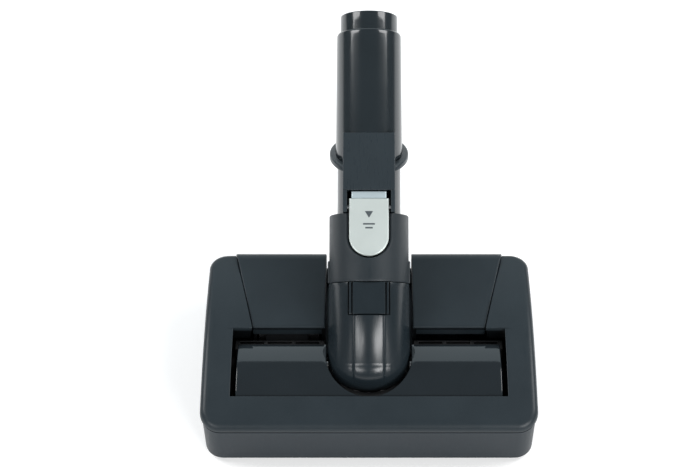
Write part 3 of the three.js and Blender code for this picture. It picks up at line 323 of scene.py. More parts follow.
def polished(name, colour, roughness, haze=0.05):
    finish = Finish(name, IOR=1.49)
    finish.shader.inputs["Coat Weight"].default_value = 0.35
    finish.shader.inputs["Coat Roughness"].default_value = 0.04
    cloud = finish.noise(22, 4)
    hair = finish.noise(1.4, 2, stretch=(9, 0.25, 0.25)).above(0.66, 0.05)
    dark = tuple(0.9 * c for c in colour[:3]) + (1,)
    tone = finish.mix(cloud, dark, tuple(1.12 * c for c in colour[:3]) + (1,))
    finish.feed(
        Base_Color=tone,
        Roughness=cloud * haze + (roughness - haze / 2) + hair * 0.07,
        Normal=finish.bump(hair, 0.001),
    )
    return finish.material


tube_gloss = polished("dark_gloss_tube", linear(33, 40, 44), 0.17)
window_gloss = polished("dark_gloss_window", linear(30, 36, 40), 0.1)
print("polished finishes ready")

# %% [markdown]
# The lever is lacquered silver: fine metal flakes under a clear coat. Tiny cells of a Voronoi texture
# give the flakes their own brightness and lean, and the coat is set on the shader's own socket.

# %% Lacquer, steel, print


def lacquer(name, colour, flake=0.12):
    finish = Finish(name, IOR=1.5, Metallic=0.35)
    finish.shader.inputs["Coat Weight"].default_value = 0.4
    finish.shader.inputs["Coat Roughness"].default_value = 0.12
    cells = finish.node("TexVoronoi", {}, {"Vector": finish.where(), "Scale": 1 / (flake * MM)})
    glint = finish.node("SeparateColor", {}, {0: cells["Color"]}).value(0)
    cloud = finish.noise(18, 3)
    dull = tuple(0.93 * c for c in colour[:3]) + (1,)
    tone = finish.mix(glint * 0.5 + cloud * 0.5, dull, tuple(min(1.05 * c, 1) for c in colour[:3]) + (1,))
    rough = glint * 0.1 + cloud * 0.08 + 0.27
    finish.feed(Base_Color=tone, Roughness=rough, Normal=finish.bump(glint, 0.004))
    return finish.material


def turned_steel(name):
    """Ground steel: rings of fine scratches in the bump, brightness and roughness."""
    finish = Finish(name, Metallic=1.0)
    lines = finish.noise(0.5, 2, stretch=(12, 1, 1))
    cloud = finish.noise(6, 3)
    tone = finish.mix(cloud, linear(168, 170, 172), linear(205, 206, 208))
    rough = lines * 0.15 + cloud * 0.1 + 0.2
    finish.feed(Base_Color=tone, Roughness=rough, Normal=finish.bump(lines, 0.004))
    return finish.material


silver = lacquer("silver_lacquer", linear(208, 217, 214))
silver_edge = lacquer("silver_thumb_edge", linear(190, 205, 210))
steel = turned_steel("turned_steel")
print("lever and pin finishes ready")

# %% [markdown]
# Lint strips are short red plush that leans one way, and the brush has crimped grey nylon. Both are
# modelled as fibres below, so their materials only carry what a fibre shows: a lighter tip, uneven dye
# and a soft sheen.

# %% Plush and nylon


def fibre(name, root, tip, roughness, size):
    finish = Finish(name, IOR=1.45, Specular_IOR_Level=0.25)
    strand = finish.noise(size, 2)
    patch = finish.noise(size * 12, 2)
    tone = finish.mix((strand + patch).above(0.7, 0.6), root, tip)
    finish.feed(Base_Color=tone, Roughness=strand * 0.1 + roughness, Normal=finish.bump(strand, 0.03))
    return finish.material


plush = fibre("lint_plush", linear(96, 14, 18), linear(170, 44, 42), 0.85, 0.5)
nylon = fibre("brush_nylon", linear(46, 48, 50), linear(104, 107, 110), 0.45, 0.4)
print("fibre finishes ready")

# %% [markdown]
# All new pieces are closed surfaces. Three ways to close one cover everything here: a plate is an upper
# and a lower grid joined round their border, a hoop is a closed section carried round a closed path, and
# a run is a closed section carried along an open path with its two ends capped.

# %% Closed surfaces


def grid_faces(index):
    """Quads between neighbouring entries of a 2-D array of vertex numbers."""
    corners = [index[:-1, :-1], index[1:, :-1], index[1:, 1:], index[:-1, 1:]]
    return np.stack(corners, -1).reshape(-1, 4).tolist()


def plate(upper, lower, welded=(None, None)):
    """A body between two grids. `welded` marks the rows of the first and last column that need no wall."""
    rows, columns = upper.shape[:2]
    top = np.arange(rows * columns).reshape(rows, columns)
    low = top + rows * columns
    faces = grid_faces(top) + grid_faces(low[:, ::-1])
    faces += grid_faces(np.stack([top[0], low[0]])) + grid_faces(np.stack([low[-1], top[-1]]))
    for edge, shut in zip((0, -1), welded):
        pair = np.stack([top[:, edge], low[:, edge]])
        walls = np.array(grid_faces(pair)).reshape(-1, 4)
        if shut is not None:
            walls = walls[~(shut[:-1] & shut[1:])]
        faces += walls.tolist()
    return np.concatenate([upper.reshape(-1, 3), lower.reshape(-1, 3)]), faces


def hoop(sections):
    """Closed sections (rows of points) joined one to the next, and the last to the first."""
    steps, around = sections.shape[:2]
    index = np.arange(steps * around).reshape(steps, around)
    index = np.pad(index, ((0, 1), (0, 1)), mode="wrap")
    return sections.reshape(-1, 3), grid_faces(index)


def run(sections):
    """Closed sections joined one to the next, with both ends capped by one face."""
    steps, around = sections.shape[:2]
    index = np.arange(steps * around).reshape(steps, around)
    faces = grid_faces(np.pad(index, ((0, 0), (0, 1)), mode="wrap"))
    return sections.reshape(-1, 3), faces + [index[0].tolist(), index[-1][::-1].tolist()]


def turned(profile, sides=128, start=0.0):
    """A closed profile of (radius, distance) turned about the second axis of its frame."""
    radius, along = np.asarray(profile, float).T
    angle = start + np.linspace(0, 2 * np.pi, sides, endpoint=False)[:, None]
    flat = np.ones_like(angle)
    return hoop(np.stack([radius * np.sin(angle), along * flat, radius * np.cos(angle)], -1))


def moved(shape, change):
    """The same faces on points that went through `change`."""
    return change(shape[0]), shape[1]


def all_of(*shapes):
    """Several closed surfaces as one list of points and faces."""
    points, faces, count = [], [], 0
    for some, theirs in shapes:
        points.append(some)
        faces += [[n + count for n in face] for face in theirs]
        count += len(some)
    return np.concatenate(points), faces


def make(name, shape, material, body, replaces=(), slot=None, sharp=38.0):
    """Builds the object: welds doubles, turns every face out, rounds the shading up to `sharp` degrees."""
    points, faces = shape
    mesh = bpy.data.meshes.new(name)
    mesh.from_pydata(points.tolist(), [], faces)
    soft = bmesh.new()
    soft.from_mesh(mesh)
    bmesh.ops.remove_doubles(soft, verts=soft.verts, dist=2e-6)
    bmesh.ops.recalc_face_normals(soft, faces=soft.faces)
    soft.to_mesh(mesh)
    soft.free()
    mesh.shade_smooth()
    mesh.set_sharp_from_angle(angle=math.radians(sharp))
    mesh.materials.append(material)
    piece = bpy.data.objects.new(name, mesh)
    bpy.context.scene.collection.objects.link(piece)
    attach(piece, body)
    if replaces:
        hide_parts(*replaces)
    print(name, len(mesh.polygons), "faces")
    return piece


def smooth_step(distance, width):
    """0 to 1 as a distance crosses nought, over `width`: the cubic 3t^2 - 2t^3."""
    t = np.clip(np.asarray(distance) / width + 0.5, 0, 1)
    return t * t * (3 - 2 * t)


def quarter(radius, steps=5):
    """Steps in from an edge and the drop there, along a quarter circle of that radius."""
    angle = np.linspace(0, np.pi / 2, steps + 1)
    return radius * (1 - np.cos(angle)), radius * (1 - np.sin(angle))


def drop(distance, radius):
    """How far a rounded edge lies below the flat at a distance in from it."""
    inside = np.clip(radius - np.asarray(distance), 0, radius)
    return radius - np.sqrt(radius**2 - inside**2)


def across(first, last, radius, between):
    """Positions from one edge to the other, close together on the rounded strips at both."""
    near = quarter(radius)[0]
    inner = np.linspace(first + radius, last - radius, between + 2)[1:-1]
    return np.concatenate([first + near, inner, last - near[::-1]])


print("surface helpers ready")

# %% [markdown]
# The top cover is one moulding, bent round the window like a horseshoe: a front land and two wings that
# run to the back. It is a run of sections, each from the outer rim over the rounded edge to the inner
# rim. Outer and inner rim are two paths with the same number of stations, paired corner by corner, and
# every height comes from the crown, two half parabolas that meet level. The walls of the opening lean
# under the top, so they stay in its shade.

# %% Rims of the cover
HEAD_HALF = 130.0
HEAD_DEPTH = 164.0
SEAM = 45.5
APERTURE_HALF = 107.0
APERTURE_FRONT = 25.5
DECK_LINE = ((92.3, 86.2), (109.8, 165.0))
CROWN_Y, CROWN_TOP = 95.0, 63.8
FRONT_CORNER, REAR_CORNER = 16.0, 15.0


def crown(y):
    """The wings' height: 63.8 at Y = 95, less 12.8 (s / 90)^2 in front and 6.5 (s / 64)^2 behind."""
    away = np.asarray(y) - CROWN_Y
    return CROWN_TOP - np.where(away < 0, 12.8 * (away / 90) ** 2, 6.5 * (away / 64) ** 2)


def along(points, steps):
    """Straight stretches between points, each cut into its number of steps."""
    made = [np.linspace(a, b, n, endpoint=False) for a, b, n in zip(points, points[1:], steps)]
    return np.concatenate(made + [[points[-1]]])


def bend(centre, radius, start, steps, turn=-90):
    """An arc from an angle, in degrees, without its last point."""
    angle = np.radians(start + np.linspace(0, turn, steps, endpoint=False))
    return np.stack([centre[0] + radius * np.cos(angle), centre[1] + radius * np.sin(angle)], -1)


def inward(path):
    """The miter at each point of a path: the sum of its two edge normals over 1 plus their product."""
    edge = np.diff(path, axis=0)
    edge = np.stack([-edge[:, 1], edge[:, 0]], -1) / np.linalg.norm(edge, axis=1, keepdims=True)
    before = np.concatenate([edge[:1], edge])
    after = np.concatenate([edge, edge[-1:]])
    return (before + after) / (1 + np.sum(before * after, axis=1, keepdims=True))


def deck_x(y):
    """Where the line beside the deck lies at Y."""
    (x0, y0), (x1, y1) = DECK_LINE
    return x0 + (x1 - x0) * (y - y0) / (y1 - y0)


def right_rims():
    """Outer and inner rim of the right half, from the middle of the front to the back."""
    h, f = HEAD_HALF, APERTURE_FRONT
    outer = np.concatenate([
        along([(0, 0), (114, 0)], [14])[:-1],
        bend((114, 16), 16, -90, 16, turn=90),
        along([(h, 16), (h, 80), (h, 84), (h, 88), (h, 149)], [20, 5, 3, 26])[:-1],
        bend((115, 149), 15, 0, 12, turn=90),
        along([(115, 164), (deck_x(164), 164)], [3]),
    ])
    inner = np.concatenate([
        along([(0, f), (100, f)], [14])[:-1],
        along([(100, f), (APERTURE_HALF, f), (APERTURE_HALF, 32)], [8, 8])[:-1],
        along([(APERTURE_HALF, 32), (APERTURE_HALF, 84), (92.3, 84), (92.3, 86.2)], [20, 5, 3])[:-1],
        along([(92.3, 86.2), (deck_x(134), 134), (deck_x(146), 146), (deck_x(150), 150)], [26, 12, 3]),
    ])
    return outer, inner


def mirrored(path):
    """The left half put before the right one."""
    return np.concatenate([path[:0:-1] * [-1, 1], path])


outer_rim, inner_rim = (mirrored(half) for half in right_rims())
print("stations", len(outer_rim), len(inner_rim))

# %% Top cover
EDGE = 5.0
RIM_EDGE = 0.5
WALL = 2.6


def cover_sections():
    """Rows of points round each section: outer wall, rounded edge, top, inner rim, underside."""
    out_in, rim_in = inward(outer_rim), -inward(inner_rim)
    ends = np.array([DECK_LINE[0], DECK_LINE[1]], float)
    slope = (ends[0] - ends[1]) / (ends[1][1] - ends[0][1])
    out_in[-1] = slope
    out_in[0] = slope * [-1, 1]
    steps_in, steps_down = quarter(EDGE, 7)
    rim_steps, rim_down = quarter(RIM_EDGE, 3)

    def at(base, normal, inset, height, fall=0.0):
        """A column of points: base plus normal times inset, at a height or that far under the crown."""
        plan = base + normal * inset
        z = crown(plan[:, 1]) - fall if height is None else np.full(len(plan), float(height))
        return np.column_stack([plan, z])

    columns = [at(outer_rim, out_in, 0.5, SEAM), at(outer_rim, out_in, 0.12, SEAM + 0.25)]
    columns += [at(outer_rim, out_in, i, None, f) for i, f in zip(steps_in, steps_down)]
    first = outer_rim + out_in * EDGE
    last = inner_rim + rim_in * RIM_EDGE
    for share in np.linspace(0, 1, 10)[1:-1]:
        columns.append(at(first + (last - first) * share, out_in, 0, None))
    columns += [at(inner_rim, rim_in, i, None, f) for i, f in zip(rim_steps[::-1], rim_down[::-1])]
    columns += [at(inner_rim, rim_in, 1.8, 47.4), at(inner_rim, rim_in, WALL, 47.4)]
    columns.append(at(inner_rim, rim_in, WALL, None, WALL))
    columns.append(at(outer_rim, out_in, EDGE, None, WALL))
    columns.append(at(outer_rim, out_in, WALL, None, EDGE))
    columns.append(at(outer_rim, out_in, WALL, SEAM))
    return np.stack(columns, 1)


make("cover_shell", run(place(cover_sections())), charcoal, "head", ["top_cover"], "charcoal_plastic")

# %% [markdown]
# The lower shell keeps the part's own shape. A copy of its mesh is welded, its flat faces are joined
# again, and only the edges of its outer wall are chosen for a Bevel modifier: a wide one where the wall
# turns under, a narrow one below the shadow gap. That bevel, together with the painted shadow and painted
# highlight of its material, makes the dark line and the thin bright one under the cover.

# %% Lower shell


def softened(node, name, material, edges, segments=3, width=1.0, reshape=None):
    """A copy of a CAD mesh with a bevel on the edges for which `edges` gives a weight above nought."""
    source = frame["nodes"][node]
    soft = bmesh.new()
    soft.from_mesh(source.data)
    bmesh.ops.remove_doubles(soft, verts=soft.verts, dist=1e-6)
    bmesh.ops.dissolve_limit(soft, angle_limit=math.radians(0.6), verts=soft.verts, edges=soft.edges)
    if reshape:
        for corner in soft.verts:
            corner.co.z += reshape(np.array(corner.co) / MM + [0, FRONT_Y, 0]) * MM
    weight = soft.edges.layers.float.new("bevel_weight_edge")
    for edge in soft.edges:
        a, b = (np.array(v.co) / MM + [0, FRONT_Y, 0] for v in edge.verts)
        edge[weight] = edges(a, b, edge)
    mesh = bpy.data.meshes.new(name)
    soft.to_mesh(mesh)
    soft.free()
    mesh.shade_smooth()
    mesh.set_sharp_from_angle(angle=math.radians(34))
    mesh.materials.clear()
    mesh.materials.append(material)
    piece = bpy.data.objects.new(name, mesh)
    bpy.context.scene.collection.objects.link(piece)
    bevel = piece.modifiers.new("rounded edges", "BEVEL")
    bevel.limit_method = "WEIGHT"
    bevel.width, bevel.segments = width * MM, segments
    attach(piece, source["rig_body"])
    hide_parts(node)
    print(name, "from", node, len(mesh.polygons), "faces")
    return piece


LIP_INSET = 1.3


def head_inset(point):
    """How far a point lies inside the head's rounded outline, seen from above."""
    x, y = abs(point[0]), point[1]
    radius, middle = (FRONT_CORNER, FRONT_CORNER) if y < 80 else (REAR_CORNER, HEAD_DEPTH - REAR_CORNER)
    beyond = y < middle if y < 80 else y > middle
    if beyond and x > HEAD_HALF - radius:
        return radius - math.hypot(x - (HEAD_HALF - radius), y - middle)
    return min(HEAD_HALF - x, y, HEAD_DEPTH - y)


def shell_edges(a, b, edge):
    """Weight 1 round the bottom of the outer wall and 0.2 at the floor of the shadow gap under its top."""
    if max(abs(head_inset(p) - LIP_INSET) for p in (a, b)) > 0.12 or abs(a[2] - b[2]) > 0.01:
        return 0.0
    if a[2] < 5:
        return 1.0
    return 0.2 if 41 < a[2] < 43 else 0.0


def wider_gap(point):
    """The floor of the shadow gap under the cover goes down by 2.3, so it is seen from above."""
    return -2.3 if 43 < point[2] < 44.1 and head_inset(point) < 3 else 0.0


softened("base_shell", "lower_shell", charcoal_shell, shell_edges, 5, 3.0, wider_gap)

# %% [markdown]
# The rear deck is two raised plates with the neck's slot between them. Each is a plate on a grid whose
# lines crowd together at the edges, so that its four roundings are true arcs: a broad one where it turns
# down to the back, a soft lip at the front. The trough that joins them under the neck is a plain channel.

# %% Rear deck
SLOT_EDGE = 34.65
DECK_FRONT = 86.5


def deck_half(side):
    """A plate from the slot to the deck's side line; its height rises 0.7 over 67.5 and rolls off last."""
    y = np.concatenate([DECK_FRONT + quarter(1.8)[0], np.linspace(89, 153, 16)])
    y = np.concatenate([y, 154 + 10 * np.sin(np.linspace(0, np.pi / 2, 10))])
    rise = 61.5 + 0.7 * np.clip((y - DECK_FRONT) / 67.5, 0, 1)
    z = rise - drop(y - DECK_FRONT, 1.8) - (10 - np.sqrt(100 - np.clip(y - 154, 0, 10) ** 2))
    near = quarter(1.0)[0] / 60
    share = np.concatenate([near, np.linspace(0.03, 0.97, 12), 1 - near[::-1]])
    wide = deck_x(y) - 0.35 - SLOT_EDGE
    x = SLOT_EDGE + wide[:, None] * share
    lateral = drop(np.minimum(x - SLOT_EDGE, SLOT_EDGE + wide[:, None] - x), 1.0)
    upper = np.stack([side * x, np.broadcast_to(y[:, None], x.shape), z[:, None] - lateral], -1)
    lower = upper.copy()
    lower[..., 2] = np.minimum(46.0, upper[..., 2] - 0.5)
    lower[..., 1] += 4 * np.clip(1 - (y[:, None] - DECK_FRONT) / 6, 0, 1)
    return plate(upper, lower)


def channel(half, wall, y0, y1, floor, top):
    """A U-shaped section drawn from y0 to y1."""
    out = half + wall
    section = np.array([
        (-out, floor - wall), (out, floor - wall), (out, top), (half, top),
        (half, floor), (-half, floor), (-half, top), (-out, top),
    ])
    rows = [np.column_stack([section[:, 0], np.full(8, y), section[:, 1]]) for y in (y0, y1)]
    return run(np.array(rows))


def block(x, y, z, edge=0.4):
    """A box with its four upright edges and its upper rim rounded: shrinking rounded squares, stacked."""
    angle = np.radians([0, 22.5, 45, 67.5, 90])
    corner = np.stack([np.cos(angle), np.sin(angle)], -1)
    turns = [corner, corner[:, ::-1] * [-1, 1], -corner, corner[:, ::-1] * [1, -1]]
    middle = np.array([(x[0] + x[1]) / 2, (y[0] + y[1]) / 2])
    half = np.array([(x[1] - x[0]) / 2, (y[1] - y[0]) / 2])
    rows = []
    for inset, height in ((0, z[0]), (0, z[1] - edge), (0.3 * edge, z[1] - 0.3 * edge), (edge, z[1])):
        loop = [middle + sign * (half - edge) + turn * (edge - inset)
                for turn, sign in zip(turns, np.array([(1, 1), (-1, 1), (-1, -1), (1, -1)]))]
        loop = np.concatenate(loop)
        rows.append(np.column_stack([loop, np.full(len(loop), height)]))
    return run(np.array(rows))


deck = all_of(deck_half(-1), deck_half(1))
make("deck_plates", moved(deck, place), charcoal, "head", ["rear_deck"], "charcoal_plastic")
trough = all_of(
    channel(SLOT_EDGE + 0.2, 2.6, DECK_FRONT, 155.6, 23.5, 60.0),
    block((-37, 37), (155.6, 158.3), (20.9, 38.0)),
)
make("neck_trough", moved(trough, place), charcoal, "head", (), "charcoal_plastic")

# %% [markdown]
# The window is a thin arched pane, cut out in a half round for the elbow's nose. Its rows follow the
# cut-out: at an angle t the row lies at 60 - 33.4 cos t and begins at 33.4 sin t, so the cut is a true arc.
# The two halves meet in front of the nose, where their shared edge is welded.

# %% Brush window
CUT = 33.4
WINDOW_END = 103.0
WINDOW_BACK = 74.5


def arch(y):
    """Height of the pane: a parabola from 53.5 in front over its crest to 55 at its back edge."""
    t = (y - 25.8) / (WINDOW_BACK - 25.8)
    return 53.5 * (1 - t) ** 2 + 2 * 63.5 * t * (1 - t) + 55.0 * t**2


def window_half(side):
    turn = np.linspace(0, np.pi / 2, 26)
    y = np.concatenate([25.8 + quarter(0.7, 3)[0], [26.75], 60 - CUT * np.cos(turn), [63, 67, 71]])
    start = np.concatenate([np.zeros(5), CUT * np.sin(turn), np.full(3, CUT)])
    y = np.concatenate([y, WINDOW_BACK - quarter(0.7, 3)[0][::-1]])
    start = np.concatenate([start, np.full(4, CUT)])
    near = quarter(0.7, 3)[0]
    share = np.linspace(0, 1, 26)[1:-1]
    x = np.column_stack([
        start[:, None] + near,
        start[:, None] + 0.8 + (WINDOW_END - 0.8 - start[:, None] - 0.8) * share,
        np.full((len(y), 1), WINDOW_END) - near[::-1],
    ])
    fall = drop(y - 25.8, 0.7) + drop(WINDOW_BACK - y, 0.7)
    rim = np.where(start[:, None] > 0, drop(x - start[:, None], 0.7), 0) + drop(WINDOW_END - x, 0.7)
    z = arch(y)[:, None] - fall[:, None] - rim
    upper = np.stack([side * x, np.broadcast_to(y[:, None], x.shape), z], -1)
    lower = upper.copy()
    lower[..., 2] = (arch(y) - 2.5)[:, None]
    return plate(upper, lower, welded=(start == 0, None))


pane = all_of(window_half(-1), window_half(1))
make("window_pane", moved(pane, place), window_gloss, "head", ["brush_window"], "dark_gloss_plastic")

# %% [markdown]
# The elbow is a short barrel that ends in a nose turned about the tilting axle. Both are one grid: rows
# run from the swivel seam down the upper side, round the nose and back along the lower side, columns run
# across. A raised ridge and the recess for the catch are changes of height on the same grid, which has
# extra lines where they begin and end.

# %% Elbow
NOSE = 22.5
ELBOW_HALF = 32.4
SEAM_AT = 63.5
SLEEVE = 31.4
RIDGE_HALF = 12.2
CATCH_HALF = 12.6


def elbow_rise(s):
    """Half height at s: 22.5 growing by 8.9 t (2 - t), with t the share of the first 50.8 mm."""
    t = np.clip(s / 50.8, 0, 1)
    return NOSE + (SLEEVE - NOSE) * t * (2 - t)


def elbow_sheet(inset):
    """Outer sheet of the elbow, or the inner one when moved in by `inset`."""
    extra = [RIDGE_HALF - 1.6, RIDGE_HALF - 0.6, RIDGE_HALF + 0.7, 16.15, 16.45, 16.7]
    share = -np.cos(np.linspace(0, np.pi, 73))
    share = np.unique(np.concatenate([share, np.array(extra) / 32, -np.array(extra) / 32]))[None, :]
    seam = SEAM_AT - 0.15
    upper_s = [seam, seam - 0.2, seam - 0.6, 60, 56, 52, 48, 44, 40, 38.2, 38.0, 37.8, 37.2, 36.6]
    upper_s = np.concatenate([upper_s, np.linspace(35, 0.8, 30)])
    lower_s = np.concatenate([np.linspace(0.8, 60, 24), [seam - 0.6, seam - 0.2, seam]])
    turn = np.radians(np.linspace(90, 270, 41))
    rows = []
    for s, sign in [(upper_s, 1), (lower_s, -1)]:
        s = s[:, None]
        t = s / SEAM_AT
        power = 1.8 + 0.2 * t
        edge = drop(seam - s, 0.6) if inset == 0 else 0
        half = ELBOW_HALF + (SLEEVE + 0.3 - ELBOW_HALF) * t - inset - edge
        x = half * share
        v = (elbow_rise(s) - inset - edge) * (1 - np.abs(share) ** power) ** (1 / power)
        if sign > 0:
            rib = smooth_step(RIDGE_HALF - 0.4 - np.abs(x), 2.2) * smooth_step(37.5 - s, 0.5)
            v = v + 1.3 * rib * (inset == 0)
            sunk = (np.abs(x) < 16.3) & (s > 37.9)
            v = np.where(sunk, np.minimum(v, 23.0 if inset == 0 else 21.5), v)
        rows.append(np.stack([x, np.broadcast_to(s, x.shape), sign * v], -1))
    radius = (NOSE - inset) * (1 - np.abs(share) ** 1.8) ** (1 / 1.8)
    turn = turn[:, None]
    x = (ELBOW_HALF - inset) * np.broadcast_to(share, (len(turn), share.shape[1]))
    run_on = np.degrees(turn) - 90
    rib = smooth_step(RIDGE_HALF - 0.4 - np.abs(x), 2.2) * (1 - smooth_step(run_on - 38, 64))
    radius = radius + 1.3 * rib * (inset == 0) * (radius > 8)
    nose = np.stack([x, radius * np.cos(turn), radius * np.sin(turn)], -1)
    return np.concatenate([rows[0], nose, rows[1]])


outer = elbow_sheet(0)
shut = np.ones(len(outer), bool)
elbow = plate(outer, elbow_sheet(3.0), welded=(shut, shut))
NECK_SHARP = 32
elbow = moved(elbow, place_neck)
make("elbow_body", elbow, charcoal_neck, "elbow", ["elbow_shell"], "charcoal_plastic", NECK_SHARP)


def soft_plate(x_span, s_span, top, bottom, radius, dome=0.0, counts=(14, 20)):
    """A rounded plate on the neck: its top falls by `drop` at all four edges, and by `dome` at its sides."""
    x = across(*x_span, radius, counts[0])[None, :]
    s = across(*s_span, radius, counts[1])[:, None]
    middle, half = sum(x_span) / 2, (x_span[1] - x_span[0]) / 2
    fall = drop(np.minimum(x - x_span[0], x_span[1] - x), radius)
    fall = fall + drop(np.minimum(s - s_span[0], s_span[1] - s), radius)
    height = top(x, s) - np.minimum(fall, 1.4 * radius) - dome * ((x - middle) / half) ** 2
    flat = np.zeros((s.shape[0], x.shape[1]))
    upper = np.stack([x + flat, s + flat, height + flat], -1)
    return plate(upper, np.stack([x + flat, s + flat, bottom(x, s) + flat], -1))


def catch_top(x, s):
    """A straight slope between the elbow's surface in front and the sleeve's at the seam."""
    return 30.3 + (30.0 - 30.3) * (s - 38.3) / 24.9


def rail_top(x, s):
    """The rails beside the tongue lie 0.8 lower."""
    return catch_top(x, s) - 0.8 + 0 * x


def level(height):
    """A flat side of a plate on the neck, at one height everywhere."""
    return lambda x, s: height + 0 * x


CATCH_ALONG = (38.4, 63.2)
catch = [soft_plate((-CATCH_HALF, CATCH_HALF), CATCH_ALONG, catch_top, level(26.9), 0.5)]
for span in ((-15.3, -13.7), (13.7, 15.3)):
    catch.append(soft_plate(span, CATCH_ALONG, rail_top, level(26), 0.4, counts=(3, 20)))
catch = moved(all_of(*catch), place_neck)
make("catch_tongue", catch, charcoal_neck, "elbow", ["swivel_catch"], "charcoal_plastic")

# %% [markdown]
# The swivel sleeve is a ring with a U cut out of its upper side, where the lever lies. Rows of the grid
# begin and end on that cut: nothing is cut below it, then the half round (98.6 - 16.9 cos t along,
# 16.9 sin t across), then two straight sides. The rim of the U is rounded, which is the bright line
# round the lever.

# %% Swivel sleeve
SLEEVE_FROM, SLEEVE_TO = SEAM_AT + 0.15, SEAM_AT + 53.85
U_HALF = 16.9
U_CENTRE = 98.6


def sleeve_sheet(outer):
    turn = np.linspace(0, np.pi / 2, 22)
    plain = np.concatenate([SLEEVE_FROM + quarter(0.6, 3)[0], [66, 70, 74, 78, 81]])
    straight = np.concatenate([[102, 106, 110, 113.5], SLEEVE_TO - quarter(0.7)[0][::-1]])
    s = np.concatenate([plain, U_CENTRE - U_HALF * np.cos(turn), straight])[:, None]
    cut = np.concatenate([np.zeros(len(plain)), U_HALF * np.sin(turn), np.full(len(straight), U_HALF)])
    start = np.arcsin(cut / SLEEVE)[:, None]
    near = quarter(1.6)[0][None, :] / SLEEVE
    share = np.linspace(0, 1, 100)[None, 1:-1]
    first, last = start + near, 2 * np.pi - start - near[:, ::-1]
    angle = np.concatenate([first, first[:, -1:] + (last[:, :1] - first[:, -1:]) * share, last], 1)
    if outer:
        radius = SLEEVE + 0.3 * np.clip(1 - (s - SLEEVE_FROM) / 12, 0, 1)
        radius = radius - drop(s - SLEEVE_FROM, 0.6) - drop(SLEEVE_TO - s, 0.7)
        gone = np.minimum(angle - start, 2 * np.pi - start - angle) * SLEEVE
        radius = radius - drop(gone, 1.6) * (cut > 0.01)[:, None]
    else:
        radius = np.where(s > SLEEVE_TO - 4, 25.55, 28.4)
    flat = np.zeros_like(angle)
    grid = np.stack([(radius + flat) * np.sin(angle), s + flat, (radius + flat) * np.cos(angle)], -1)
    return grid, cut == 0


outer, shut = sleeve_sheet(True)
sleeve = plate(outer, sleeve_sheet(False)[0], welded=(shut, shut))


def lug(side):
    """A small rib on the sleeve's side, where it is gripped to turn it: a block laid on its side."""
    points, faces = block((SLEEVE_FROM + 0.3, SLEEVE_FROM + 18), (-4, 4), (29.6, 32.5), 0.9)
    return points[:, [2, 0, 1]] * [side, 1, 1], faces


sleeve = moved(all_of(sleeve, lug(-1), lug(1)), place_neck)
holder = ("wand_holder", ["swivel_sleeve"], "charcoal_plastic", NECK_SHARP)
make("sleeve_ring", sleeve, charcoal_sleeve, *holder)

# %% [markdown]
# The wand socket is turned: a glossy tube, a shoulder and a thinner stub with a rounded mouth, bored for
# the wand. It is a hoop of closed profiles round its axis. Where the lever lies the profile is planed
# flat, by lowering every point above that plane.

# %% Wand tube


def arc_profile(centre, radius, start, end, steps=5):
    """Points of an arc in a profile, as (radius, distance), from one angle to another in degrees."""
    angle = np.radians(np.linspace(start, end, steps + 1))
    return np.column_stack([centre[0] + radius * np.cos(angle), centre[1] + radius * np.sin(angle)])


POCKET_FLOOR = 21.6
outer_line = np.concatenate([
    [(25.2, 68), (25.2, 82.2), (25.2, 82.6)],
    np.column_stack([np.full(26, 25.2), np.linspace(84, 134, 26)]),
    [(25.2, 134.6), (25.2, 135), (25.2, 150), (25.2, 161), (25.9, 163.6), (26.55, 165.2)],
    np.column_stack([np.linspace(26.5, 25.85, 24), np.linspace(168, 260, 24)]),
    arc_profile((23.1, 261.9), 2.7, 0, 84),
    [(23.2, 264.7), (22.9, 265.0), (22.9, 265.4), (22.9, 271)],
    arc_profile((21.7, 277.75), 1.2, 0, 90),
    arc_profile((20.0, 278.1), 0.85, 90, 180, 4),
    [(19.15, 277.2), (19.15, 200), (19.15, 80), (17.5, 79), (17.5, 68)],
])
turns = np.linspace(0, 2 * np.pi, 180, endpoint=False)[:, None]
tube = np.stack([
    outer_line[:, 0] * np.sin(turns),
    outer_line[:, 1] + 0 * turns,
    outer_line[:, 0] * np.cos(turns),
], -1)
planed = (tube[..., 1] > 82.4) & (tube[..., 1] < 134.8) & (outer_line[:, 0] > 20)
tube[..., 2] = np.where(planed, np.minimum(tube[..., 2], POCKET_FLOOR), tube[..., 2])
tube = moved(hoop(tube), place_neck)
make("wand_socket", tube, tube_gloss, "wand_holder", ["wand_tube"], "dark_gloss_plastic", 30)

# %% [markdown]
# The collar is a disc that crosses the tube on a slant, so only an ear shows on each side of the latch
# panel. It is a run of small rounded sections round the tube: at an angle a and a radius r the section
# lies at 167 - r cos a tan 32.8 along the tube.

# %% Collar and latch panel
COLLAR_TILT = math.radians(32.8)
COLLAR = 31.35
COLLAR_BORE = 26.8


def collar():
    first = math.asin(20.6 / COLLAR)
    angle = np.linspace(first, 2 * np.pi - first, 90)[:, None]
    half = 2 / math.cos(COLLAR_TILT)
    edge = 1.3
    rim = np.concatenate([
        [(COLLAR_BORE, -half), (COLLAR - edge, -half)],
        arc_profile((COLLAR - edge, -half + edge), edge, -90, 0),
        arc_profile((COLLAR - edge, half - edge), edge, 0, 90),
        [(COLLAR_BORE, half)],
    ])
    radius, lean = rim[:, 0], rim[:, 1]
    s = 167 - radius * np.cos(angle) * math.tan(COLLAR_TILT) + lean
    return run(np.stack([radius * np.sin(angle), s, radius * np.cos(angle)], -1))


holder = ("wand_holder", ["tube_collar"], "charcoal_plastic", NECK_SHARP)
make("collar_ring", moved(collar(), place_neck), charcoal_latch, *holder)


def on_tube(x, s):
    """Just inside the tube's surface under a point: the circle of 25 round the axis."""
    return np.sqrt(np.clip(25.0**2 - x**2, 0, None)) + 0 * s


